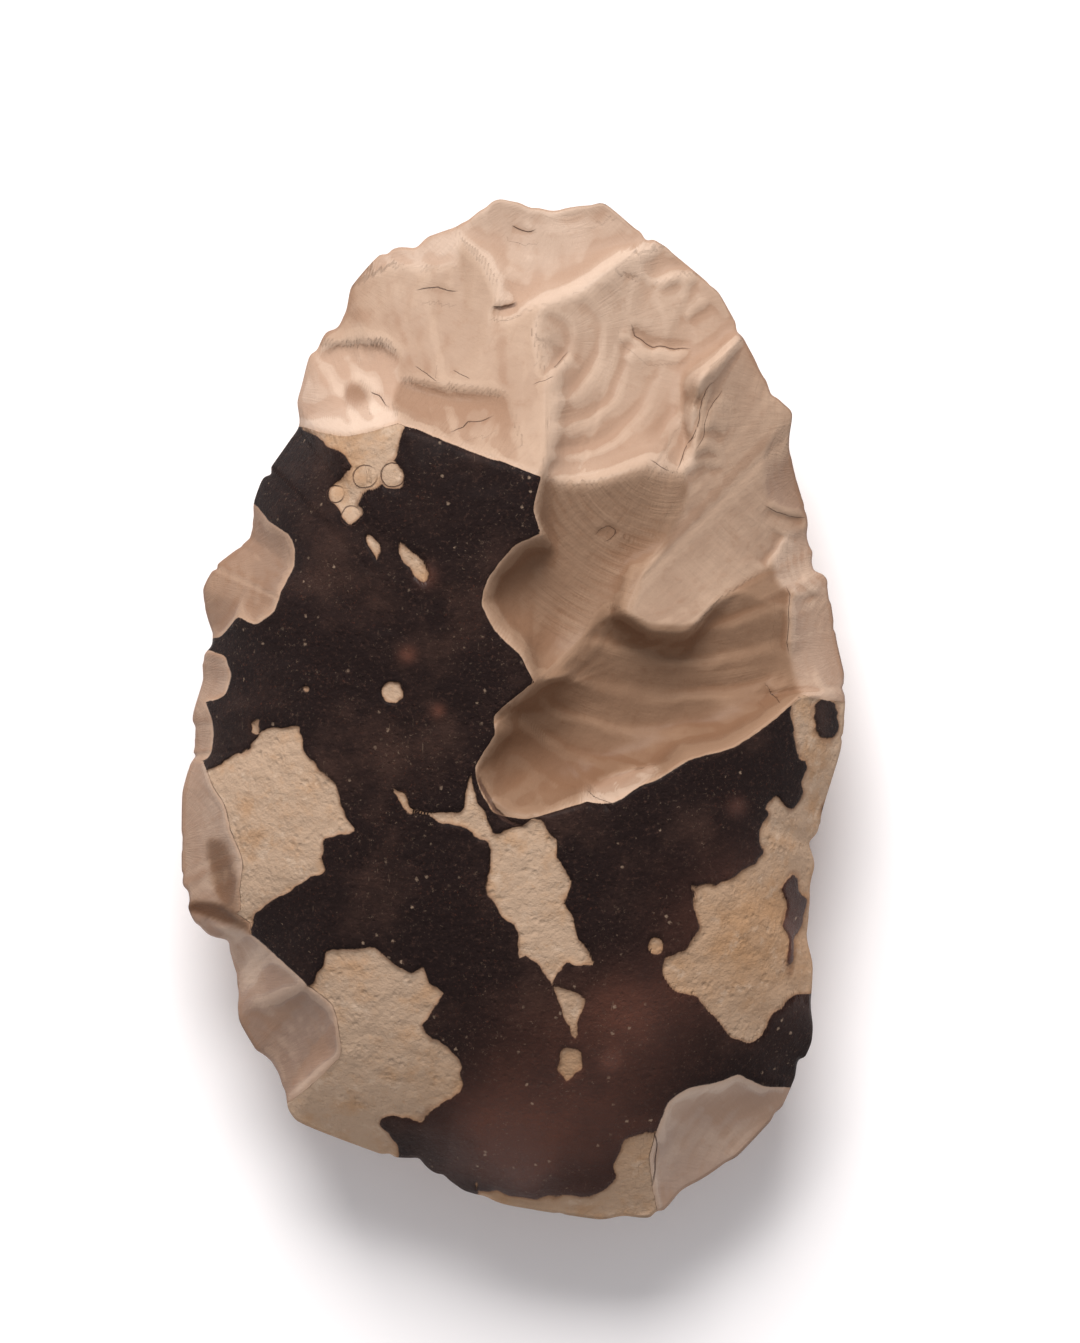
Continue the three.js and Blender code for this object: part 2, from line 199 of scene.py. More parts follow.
BACK_SCARS = [
    Flake("right_up", hollow=2, tone=0.3, struck=(62, 50), spacing=4.5, ripple=0.08,
          rim=[(8, 22), (6, 52), (24, 72), (60, 60), (70, 20), (52, 2), (24, 4)]),
    Flake("left_mid", hollow=2, tone=0.5, struck=(-62, 2), spacing=5, ripple=0.1,
          rim=[(-70, -16), (-70, 22), (-44, 34), (-12, 26), (-4, 6), (-14, -14), (-40, -24)]),
    Flake("right_mid", hollow=2, tone=0.2, struck=(64, -10), spacing=5, ripple=0.1,
          rim=[(70, -32), (72, 14), (46, 20), (16, 14), (4, -6), (14, -26), (40, -38)]),
    Flake("left_low", hollow=1.8, tone=0.7, struck=(-60, -56), spacing=4.5, ripple=0.08,
          rim=[(-70, -66), (-72, -20), (-46, -12), (-18, -20), (-8, -40), (-22, -60), (-44, -78)]),
    Flake("right_low", hollow=1.8, tone=0.9, struck=(58, -60), spacing=4, ripple=0.08,
          rim=[(66, -72), (70, -30), (44, -24), (18, -30), (8, -48), (16, -68), (36, -86)]),
    Flake("left_up", hollow=1.8, tone=0.1, struck=(-50, 60), spacing=4.5, ripple=0.08,
          rim=[(-60, 28), (-54, 66), (-20, 80), (-4, 62), (-4, 38), (-18, 24), (-40, 20)]),
    Flake("tip", hollow=1.4, tone=0.1, struck=(2, 92), spacing=4, ripple=0.06,
          rim=[(-26, 98), (-22, 66), (-8, 46), (6, 42), (16, 58), (22, 74), (24, 98)]),
    Flake("heel", hollow=1.8, tone=0.8, struck=(-2, -92), spacing=4, ripple=0.08,
          rim=[(-30, -96), (-26, -66), (-8, -54), (12, -58), (26, -74), (24, -98)]),
    Flake("edge_left", hollow=1, tone=0.7, struck=(-62, -6), spacing=2.2, ripple=0.05,
          rim=[(-70, -4), (-56, 10), (-44, 6), (-40, -6), (-46, -18), (-60, -22)]),
    Flake("edge_right", hollow=1, tone=0.5, struck=(62, 22), spacing=2.2, ripple=0.05,
          rim=[(70, 34), (50, 40), (38, 32), (38, 18), (46, 8), (66, 6)]),
    Flake("edge_up", hollow=1, tone=0.2, struck=(-58, 46), spacing=2.2, ripple=0.05,
          rim=[(-52, 62), (-36, 58), (-28, 46), (-34, 34), (-50, 30), (-64, 44)]),
    Flake("edge_low", hollow=1, tone=0.9, struck=(66, -40), spacing=2.2, ripple=0.05,
          rim=[(68, -52), (50, -50), (42, -38), (46, -24), (60, -20), (72, -30)]),
]

# Places where the dark skin has come off the chalky rind beneath, as outlines in millimetres.
CHALK_PATCHES = {
    "left_flank": [
        (-39, -3.5), (-33.5, -3.5), (-32, -7), (-28, -11), (-27, -14), (-25, -18.5), (-29, -20.5),
        (-30, -23), (-29, -25), (-32, -26), (-35.5, -28.5), (-40, -31.5), (-42, -38), (-49, -36),
        (-49, -28), (-47, -22), (-51, -15), (-49, -11), (-45, -8), (-41, -6.5)],
    "left_flank_top": [(-41, -2), (-39.5, -2), (-39.5, -4), (-41, -4)],
    "heel": [
        (-32, -42.5), (-29.5, -39.5), (-29, -37.5), (-26, -37), (-22, -37), (-19, -38.5), (-16, -41),
        (-14, -40), (-13.5, -42.5), (-11.5, -44), (-13, -47.5), (-14, -49), (-12.5, -51), (-9, -53),
        (-7.5, -55.5), (-8.5, -59), (-12.5, -62), (-15, -64), (-19, -63.5), (-20.5, -64.5),
        (-18.5, -68.5), (-19, -71), (-23, -71), (-28, -69), (-34, -66), (-38, -62.5),
        (-35, -60), (-32, -57), (-31, -54), (-30, -51), (-31, -48), (-35, -44)],
    "middle": [
        (-6.5, -9.5), (-5.5, -14.5), (-4, -17), (-2.5, -19), (0.5, -18.5), (4, -17), (5.5, -18.5),
        (7, -21), (6.5, -23), (9, -26.5), (8, -30), (9, -32.5), (10, -36), (12, -39), (10.5, -39.5),
        (8, -39.5), (6.5, -42), (9.5, -43.5), (10.5, -45.5), (9.5, -48.5), (9.5, -50.5), (9, -49.5),
        (6.5, -45), (4, -40), (2, -38.5), (0.5, -38.5), (0, -34.5), (-2.5, -30.5), (-4, -28),
        (-3.5, -22), (-5.5, -19.5), (-7.5, -18), (-11, -17.5), (-14, -16.5), (-16.5, -16),
        (-18.5, -12.5), (-17, -13), (-16, -15), (-11, -16), (-8, -16), (-8, -13)],
    "right_flank": [
        (42, 5), (44, -7), (45.5, -8), (45.5, -10), (43.5, -15.5), (42, -15), (40.5, -14),
        (39, -15.5), (38, -21.5), (37.5, -24), (34, -25.5), (31, -27), (27, -27), (28, -30.5),
        (28.5, -34), (26.5, -37.5), (23.5, -38.5), (23, -41.5), (25, -44), (27.5, -45), (31, -47.5),
        (33, -50.5), (37, -52), (39, -50), (41, -47), (43, -45), (46.5, -44.5), (48, -40), (47, -36),
        (47.5, -26.5), (48, -20.5), (49, -18), (50, -13.5), (54, -8.5), (55, -0.5), (53, 5)],
    "butt": [
        (-6, -74), (-5.5, -75.5), (-1, -76), (4, -76.5), (11.5, -76), (14, -75.5), (16, -73),
        (15.5, -71), (18, -67), (24, -65), (25, -69.5), (26, -75.5), (26, -83), (20, -83),
        (9.5, -81), (2.5, -80), (-3, -78.5), (-5.5, -77.5)],
    "low_fleck": [
        (7, -53.5), (8, -52.5), (10, -53), (10.5, -54.5), (9.5, -56.5), (8, -57.5), (7, -56)],
    "top_shell": [
        (-37, 48), (-26.5, 49), (-16, 47), (-17.5, 42.5), (-18.5, 39), (-20, 38), (-21, 34),
        (-23, 33), (-24.5, 31.5), (-24.5, 29.5), (-25, 28), (-26.5, 28.5), (-27, 30.5), (-29, 32),
        (-29, 34), (-26.5, 35.5), (-25.5, 37.5), (-26.5, 39.5), (-29, 41), (-32.5, 42.5)],
    "comma_one": [
        (-22.5, 26.5), (-21, 25.5), (-20.5, 24), (-21, 22), (-22, 20.5), (-21.5, 22.5), (-22, 24.5)],
    "comma_two": [
        (-17.5, 25.5), (-15.5, 24), (-14, 22.5), (-13, 20.5), (-14, 19.5), (-15.5, 20.5),
        (-16.5, 22.5), (-17.5, 24)],
}

# Cracks, hinges and small steps on the front.
MARKS = [
    Mark("tip_hinge", dark=0.3, groove=0.45, lift=0.4, line=[(-3.6, 62.5), (-2.2, 62.2), (-0.9, 62.7),
         (0.5, 63.3)]),
    Mark("tip_top", dark=0.098, groove=0.2, lift=0.12, line=[(-0.5, 75.6), (0.8, 75), (2, 74.7),
         (3.3, 75)]),
    Mark("upper_left", dark=0.077, groove=0.12, lift=0.08, line=[(-15.6, 65.2), (-14.1, 65.6), (-12, 65.8),
         (-10.3, 65.3), (-8.6, 65.2)]),
    Mark("tongue", dark=0.063, groove=0.1, lift=0.05, line=[(-10, 42.3), (-8.1, 43.4), (-7, 44.2),
         (-5, 44.4), (-3, 45.2)]),
    Mark("oval", dark=0.084, groove=0.15, lift=0.08, line=[(-22.5, 49.2), (-20.9, 48.4), (-19.8, 46.6)]),
    Mark("notch_ring", lift=0.4, line=[(-31.2, 54.8), (-27.8, 56.7), (-24.5, 57.3), (-20.9, 56.6),
         (-18.4, 55), (-17.2, 53.1)]),
    Mark("notch_inner", groove=0.1, lift=0.14, line=[(-25.3, 55.6), (-24.5, 54.1), (-23.1, 53.4),
         (-21.9, 54.8), (-22.3, 55.9)]),
    Mark("notch_line", dark=0.042, groove=0.05, line=[(-15.5, 53.3), (-13.9, 52.2), (-12, 50.5)]),
    Mark("notch_line_two", dark=0.042, groove=0.05, line=[(-9.7, 52.3), (-8.4, 51.6), (-6.9, 50.9)]),
    Mark("butterfly", dark=0.084, groove=0.5, lift=-0.45, line=[(18.1, 60.2), (18.8, 58.1), (20.3, 57.2),
         (21.6, 55.9), (23.6, 56.4), (26.2, 56.2), (28, 55.8)]),
    Mark("butterfly_low", lift=-0.3, line=[(16.6, 54.7), (18.4, 55.9), (20.3, 55.6), (21.6, 54.7)]),
    Mark("hatch", dark=0.035, groove=0.3, lift=0.4, line=[(8.6, 55.5), (6.7, 53.3), (4.1, 50.9)]),
    Mark("hatch_low", dark=0.035, groove=0.12, lift=0.15, line=[(6.2, 51.4), (4.8, 50.8), (3, 50)]),
    Mark("step_one", dark=0.042, groove=0.12, lift=0.2, line=[(20.9, 38.4), (23, 36.9), (25, 36.2)]),
    Mark("hackle", dark=0.05, groove=0.3, lift=0.4, line=[(31.9, 51.4), (30.2, 50), (29.2, 47.8),
         (28.6, 44.5), (27.5, 41.9), (26.2, 39.2), (25, 35.9)]),
    Mark("hackle_two", dark=0.035, groove=0.2, lift=0.25, line=[(32.8, 50), (31.1, 47.8), (30, 45),
         (29.2, 41.9), (28.1, 39.4)]),
    Mark("fold_one", lift=0.25, line=[(25.5, 38.3), (28.1, 39.4), (30.2, 40), (32.8, 39.2)]),
    Mark("fold_two", lift=0.25, line=[(25.9, 36.1), (29.4, 37.8), (32.8, 37.2)]),
    Mark("fold_three", lift=0.22, line=[(29.1, 42.5), (30.9, 43.4), (33.1, 42.5)]),
    Mark("right_top_arc", lift=0.3, line=[(16.1, 68.6), (19.1, 67.7), (21.2, 66.4), (23.4, 66.1),
         (25.3, 66.7), (26.6, 68.1)]),
    Mark("right_arc_two", lift=0.25, line=[(26.6, 60.2), (28.3, 61.6), (29.7, 62.3), (30.9, 63.8)]),
    Mark("ring_mark", dark=0.042, groove=0.08, lift=0.12, line=[(12.2, 26.7), (13.1, 27.7), (14.5, 28.1),
         (15.8, 27.3), (15, 26.2), (13.9, 25.6)]),
    Mark("lower_step", lift=0.4, line=[(10, -13.9), (11.4, -12.3), (15.8, -10.3), (21.2, -8.8), (26.1, -7),
         (31.2, -5.2)]),
    Mark("lower_step_two", dark=0.035, groove=0.1, lift=0.25, line=[(11.2, -12.5), (12.5, -13.8),
         (15.3, -14.5)]),
    Mark("end_lance", dark=0.042, groove=0.1, lift=0.15, line=[(38.9, 3.9), (39.8, 3), (40.9, 1.7)]),
    Mark("end_lance_two", dark=0.042, groove=0.1, lift=0.12, line=[(39.7, 2.7), (40.5, 1.7), (41.2, 0.6)]),
    Mark("bay_ridge", lift=0.5, line=[(42.5, 27.3), (41.1, 25.2), (39.8, 23.1), (39.2, 21.4)]),
    Mark("low_ridge", dark=0.04, groove=0.1, lift=0.45, line=[(42.2, 19.5), (43, 17.5), (42.8, 13.1),
         (42.5, 10.2), (43.1, 8)]),
    Mark("low_ridge_two", lift=0.35, line=[(44.1, 19.4), (45.6, 18.6), (47.5, 17.5)]),
    Mark("nick_lip", dark=0.042, lift=0.3, line=[(38.9, 31.7), (41.1, 30.5), (43.8, 29.7), (45.9, 29.7)]),
    Mark("crevice", dark=0.34, groove=0.5, line=[(-5.8, -9.4), (-4.8, -12.5), (-3, -15.6), (-0.6, -17.5),
         (2.5, -18.9)]),
    Mark("scratch", dark=0.035, groove=0.06, line=[(-18.3, -8.9), (-17.5, -10.2), (-16.4, -11.4)]),
    Mark("butt_crack", dark=0.112, groove=0.2, lift=0.1, line=[(21.6, -64.4), (22.2, -67.5), (22, -71.4),
         (21.2, -75.3)]),
]

# Lenses of dark skin left inside the patches: x, y, half width and half length.
SKIN_LENSES = [(48.5, -1.5, 1.8, 3.2), (43.5, -30, 1.6, 4.6), (43, -37, 0.5, 2.5), (49, -16.5, 0.6, 1.5)]
# Round dots of bare chalk: x, y and radius.
CHALK_DOTS = [(-18.5, 2.3, 1.5), (-32, 3.1, 0.8), (21.7, -36.4, 1.1), (-23, 35.8, 1.8), (-18.6, 36, 1.7)]
# Small round shells of chalk with a brown rim: x, y and radius.
SHELLS = [(-23, 35.8, 1.8), (-18.6, 36, 1.8), (-27.6, 33, 1.3), (-25.2, 29.7, 1.5)]
# Reddish places in the skin: x, y and radius.
RUST_SPOTS = [(15, -54.4, 1.6), (34.5, -15.2, 1.4), (-16.3, 8.3, 1.2), (-11.6, -0.3, 1.0), (1, -71.4, 5.0),
              (9.5, -62, 13.0), (19, -47, 7.0), (-13.5, 20.5, 1.6), (-4, -66, 8.0), (37, -36, 11.0)]

# Random relief on the scars, the skin and the chalk, at the chalk's edges and along the marks.
SCAR_GRAIN = Lumps(2.6, 0.035, 11, 3)
SKIN_SWELL, SKIN_GRAIN = Lumps(6.0, 0.12, 21, 3), Lumps(1.4, 0.04, 25, 3)
CHALK_LUMPS, CHALK_RAGGED = Lumps(3.2, 0.1, 31, 4), Lumps(2.8, 0.55, 81, 3)
MARK_WOBBLE = Lumps(2.5, 0.25, 61, 3)
# Where the skin of the back is chalk: the lumps that stand higher than this.
BACK_PATCHES, BACK_SKIN = Lumps(26.0, 5.0, 51, 3), 2.2
# How the ripples wander, and where they fade.
RIPPLE_WANDER, RIPPLE_FADE = (Lumps(9.0, 1.3, 41), Lumps(3.0, 0.5, 42)), Lumps(11.0, 0.45, 43)
# Bites out of the edge, as shares of the deepest, and small ones between them.
CHIPS, SMALL_CHIPS = Lumps(4.2, 1.0, 71), Lumps(1.8, 1.0, 72)


# Shapes

def turned(angle):
    """An angle brought into one turn, from 0 to 2 pi."""
    return np.mod(angle, 2 * pi)


def soft_step(t):
    """0 below 0, 1 above 1, and 3t^2 - 2t^3 between."""
    t = np.clip(t, 0, 1)
    return t * t * (3 - 2 * t)


def read_round(values, angle):
    """Values held at equal steps round a turn, read at any angle on the straight line between two."""
    at = turned(angle) / (2 * pi) * len(values)
    low = np.floor(at).astype(int) % len(values)
    return values[low] + (values[(low + 1) % len(values)] - values[low]) * (at - np.floor(at))


def evened(values):
    """Each value round a ring mixed with half of each neighbour's."""
    return values / 2 + (np.roll(values, 1) + np.roll(values, -1)) / 4


def closed_path(points, divisions, pull=0.25):
    """A cubic through the points of a ring. It leaves each along pull times the line between its
    neighbours."""
    p = np.asarray(points, float)[:, None]
    before, after, later = np.roll(p, 1, 0), np.roll(p, -1, 0), np.roll(p, -2, 0)
    t = np.linspace(0, 1, divisions, endpoint=False)[None, :, None]
    path = ((2 * t**3 - 3 * t**2 + 1) * p + (t**3 - 2 * t**2 + t) * pull * (after - before)
            + (3 * t**2 - 2 * t**3) * after + (t**3 - t**2) * pull * (later - p))
    return path.reshape(-1, 2)


def lattice(x, y, size, seed):
    """Smooth random heights from about -1 to 1 on a square lattice of the given size, blended cubically."""
    table = np.random.default_rng(seed).uniform(-1, 1, (64, 64))
    u, v = np.asarray(x) / size, np.asarray(y) / size
    i, j = np.floor(u).astype(int), np.floor(v).astype(int)
    a, b = soft_step(u - i), soft_step(v - j)
    corner = lambda di, dj: table[(i + di) % 64, (j + dj) % 64]
    return ((corner(0, 0) * (1 - a) + corner(1, 0) * a) * (1 - b)
            + (corner(0, 1) * (1 - a) + corner(1, 1) * a) * b)


def rough(x, y, lumps):
    """The lumps' height times a sum of lattices, each half the size and height of the one before, and
    turned and moved a little."""
    total = 0
    for k in range(lumps.octaves):
        turn = 0.9 * k
        u, v = x * np.cos(turn) + y * np.sin(turn), y * np.cos(turn) - x * np.sin(turn)
        total = total + lattice(u + 17.3 * k, v - 9.1 * k, lumps.size / 2**k, lumps.seed + k) / 2**k
    return lumps.height * total


def inside_by(points, x, y, divisions=4):
    """How far each point is inside a closed outline, in the outline's own unit: negative outside it.
    It is the distance to the nearest side, with the sign from how often a line to the right crosses."""
    a = closed_path(points, divisions)
    b = np.roll(a, -1, 0)
    best, crossed = np.full(np.shape(x), np.inf), np.zeros(np.shape(x), bool)
    for (ax, ay), (bx, by) in zip(a, b):
        dx, dy = bx - ax, by - ay
        t = np.clip(((x - ax) * dx + (y - ay) * dy) / max(dx * dx + dy * dy, 1e-12), 0, 1)
        best = np.minimum(best, (x - ax - t * dx) ** 2 + (y - ay - t * dy) ** 2)
        if ay != by:
            crossed ^= ((ay > y) != (by > y)) & (x < ax + (y - ay) * dx / dy)
    return np.where(crossed, 1, -1) * np.sqrt(best)


def beside(points, x, y):
    """Distance from an open line, signed with its left side positive, and the share of full strength, which
    falls to nothing at its two ends."""
    a = np.asarray(points, float)
    best, signed, share = np.full(np.shape(x), np.inf), np.zeros(np.shape(x)), np.zeros(np.shape(x))
    steps = np.hypot(*np.diff(a, axis=0).T)
    total, done = steps.sum(), 0.0
    for (ax, ay), (bx, by), step in zip(a[:-1], a[1:], steps):
        dx, dy = (bx - ax) / step, (by - ay) / step
        t = np.clip((x - ax) * dx + (y - ay) * dy, 0, step)
        far = np.hypot(x - ax - t * dx, y - ay - t * dy)
        near = far < best
        side = np.sign(dx * (y - ay) - dy * (x - ax))
        best, signed = np.where(near, far, best), np.where(near, far * side, signed)
        at = (done + t) / total
        share = np.where(near, soft_step(np.minimum(at, 1 - at) * 5), share)
        done += step
    return signed, share


def spread(values, times):
    """A grid of values averaged with their four neighbours, again and again."""
    for _ in range(times):
        p = np.pad(values, 1, mode="edge")
        values = (p[:-2, 1:-1] + p[2:, 1:-1] + p[1:-1, :-2] + p[1:-1, 2:]) / 4
    return values


class Rim:
    """A closed outline held as its distance from a centre at any angle."""

    def __init__(self, points, centre=None, divisions=6):
        path = closed_path(points, divisions)
        self.low, self.high = path.min(0), path.max(0)
        self.centre = path.mean(0) if centre is None else np.asarray(centre, float)
        u, v = (path - self.centre).T
        angle = turned(np.arctan2(v, u))
        order = np.argsort(angle)
        self.angles, self.reaches = angle[order], np.hypot(u, v)[order]

    def reach(self, angle):
        """Distance from the centre to the outline at an angle."""
        return np.interp(turned(angle), self.angles, self.reaches, period=2 * pi)


class Scar(Rim):
    """A flake scar: a tilted saddle fitted to the older heights along its rim, dished by its hollow, plus
    what the fit left over at the rim, fading with the fourth power of the distance from the middle. It only
    takes stone away, so it is never higher than the older surface."""

    STEPS = 48  # points read round the rim
    OUTERMOST = 1.3  # share of the rim's reach past which what the fit left over stops growing
    TALLEST_WALL = 3  # millimetres of wall after which it leans no wider
    RAY_REACH = 25  # millimetres from the blow where sideways distances are true

    def __init__(self, row, older):
        self.row = row
        super().__init__(row.rim)
        steps = np.arange(self.STEPS) * 2 * pi / self.STEPS
        u, v = self.reach(steps) * np.cos(steps), self.reach(steps) * np.sin(steps)
        self.size = np.sqrt(2 * np.array([(u * u).mean(), (v * v).mean()]))
        heights = older(self.centre[0] + u, self.centre[1] + v)
        self.weights = np.linalg.lstsq(self.terms(u, v), heights, rcond=None)[0]
        self.left_over = evened(heights - self.dish(u, v))

    def terms(self, u, v):
        """1, s, t, s^2 - t^2 and st, where s and t are u and v over the scar's half sizes."""
        s, t = u / self.size[0], v / self.size[1]
        return np.stack([np.ones_like(s), s, t, s * s - t * t, s * t], -1)

    def dish(self, u, v):
        """The fitted saddle less hollow x (1 - r^bowl / 2) x (1 + lean . (s, t))."""
        s, t = u / self.size[0], v / self.size[1]
        deeper = 1 + self.row.lean[0] * s + self.row.lean[1] * t
        dip = 1 - np.hypot(s, t) ** self.row.bowl / 2
        return self.terms(u, v) @ self.weights - self.row.hollow * dip * deeper

    def strike(self, x, y, z, softness):
        """The height after this flake, and how far inside its rim each point is. Where it ends in a wall,
        the blend is wider inwards by the wall's height, so that the wall leans."""
        u, v = x - self.centre[0], y - self.centre[1]
        angle, far = np.arctan2(v, u), np.hypot(u, v)
        reach = self.reach(angle)
        out = np.minimum(far / reach, self.OUTERMOST)
        mine = np.minimum(self.dish(u, v) + read_round(self.left_over, angle) * out**4, z)
        width = softness + np.clip(z - mine, 0, self.TALLEST_WALL)
        return z + (mine - z) * soft_step((reach - far + softness / 2) / width), reach - far

    def fan(self, x, y):
        """Ripples counted outwards from the point of impact, and millimetres sideways across its rays."""
        u, v = x - self.row.struck[0], y - self.row.struck[1]
        a, b = self.centre - self.row.struck
        return np.hypot(u, v) / self.row.spacing, self.RAY_REACH * np.arctan2(a * v - b * u, a * u + b * v)

    def waves(self, x, y, inside):
        """Ripples round the point of impact, sharper on their far side, dying out at the rim."""
        far = np.hypot(x - self.row.struck[0], y - self.row.struck[1])
        phase = 2 * pi * far / self.row.spacing + sum(rough(x, y, lumps) for lumps in RIPPLE_WANDER)
        wave = np.sin(phase + 0.5 * np.sin(phase))
        patchy = 1 - RIPPLE_FADE.height + rough(x, y, RIPPLE_FADE)
        return self.row.ripple * wave * patchy * soft_step(inside / 2.5)


class Face:
    """A smooth bulge over an oval plan, then its scars in order."""

    def __init__(self, form, height, rows, softness=0.65):
        self.form, self.height, self.softness, self.scars = form, height, softness, []
        for row in rows:
            self.scars.append(Scar(row, lambda x, y: self.flaked(x, y)[0]))

    def bulge(self, x, y):
        """Edge height plus height x (1 - oval^fullness), where oval is a superellipse's reach: 1 on the
        plan."""
        f = self.form
        width = f.half_width / MM * (1 - f.width_taper * y / (f.half_length / MM))
        oval = (np.abs(x / width) ** f.plan_squareness
                + np.abs(y / (f.half_length / MM)) ** f.plan_squareness) ** (1 / f.plan_squareness)
        return f.edge_height / MM + self.height / MM * (1 - np.minimum(oval, 1.12) ** f.face_fullness)

    def flaked(self, x, y):
        """Height after every scar, which scar shows (0 for none), how far inside it each point is, and how
        far inside the nearest of them all."""
        z, which, inside = self.bulge(x, y), np.zeros(np.shape(x), int), np.full(np.shape(x), -FAR)
        widest = np.full(np.shape(x), -FAR)
        for i, scar in enumerate(self.scars, 1):
            z, by = scar.strike(x, y, z, self.softness)
            which = np.where(by > 0, i, which)
            inside = np.where(by > 0, by, np.minimum(inside, np.where(inside > 0, -by, FAR)))
            widest = np.maximum(widest, by)
        return z, which, inside, widest


def spread_square(n):
    """An n by n grid of squares bent to a disc: each square ring becomes a ring, each side a quarter turn.
    Returns the share of the way out, from 0 to 1, and the angle, of the (n + 1)^2 corners."""
    side = np.linspace(-1, 1, n + 1)
    a, b = (g.ravel() for g in np.meshgrid(side, side))
    out = np.maximum(np.abs(a), np.abs(b))
    steep = np.abs(b) > np.abs(a)
    small, large = np.where(steep, a, b), np.where(steep, b, a)
    share = np.divide(small, large, out=np.zeros_like(small), where=large != 0)
    angle = np.where(steep, pi / 2 - pi / 4 * share, pi / 4 * share) + pi * (large < 0)
    return out, angle


def sewn(n, rim, kept):
    """The corners of all faces in a row, and how many each takes. The front has a face for each square of
    its grid. The back has one for each two by two, round the kept corners and the rim's corners between."""
    index = np.arange((n + 1) ** 2)
    below = np.where(rim, index, -1)
    below[kept & ~rim] = index.size + np.arange((kept & ~rim).sum())
    index, below = index.reshape(n + 1, n + 1), below.reshape(n + 1, n + 1)
    upper = np.stack([index[:-1, :-1], index[:-1, 1:], index[1:, 1:], index[1:, :-1]], -1).reshape(-1, 4)
    round_square = ((0, 0), (1, 0), (2, 0), (2, 1), (2, 2), (1, 2), (0, 2), (0, 1))
    lower = np.stack([below[i:n - 1 + i:2, j:n - 1 + j:2] for i, j in round_square], -1).reshape(-1, 8)
    loops = np.concatenate([upper.ravel(), lower[lower >= 0]])
    return loops, np.concatenate([np.full(len(upper), 4), (lower >= 0).sum(1)])


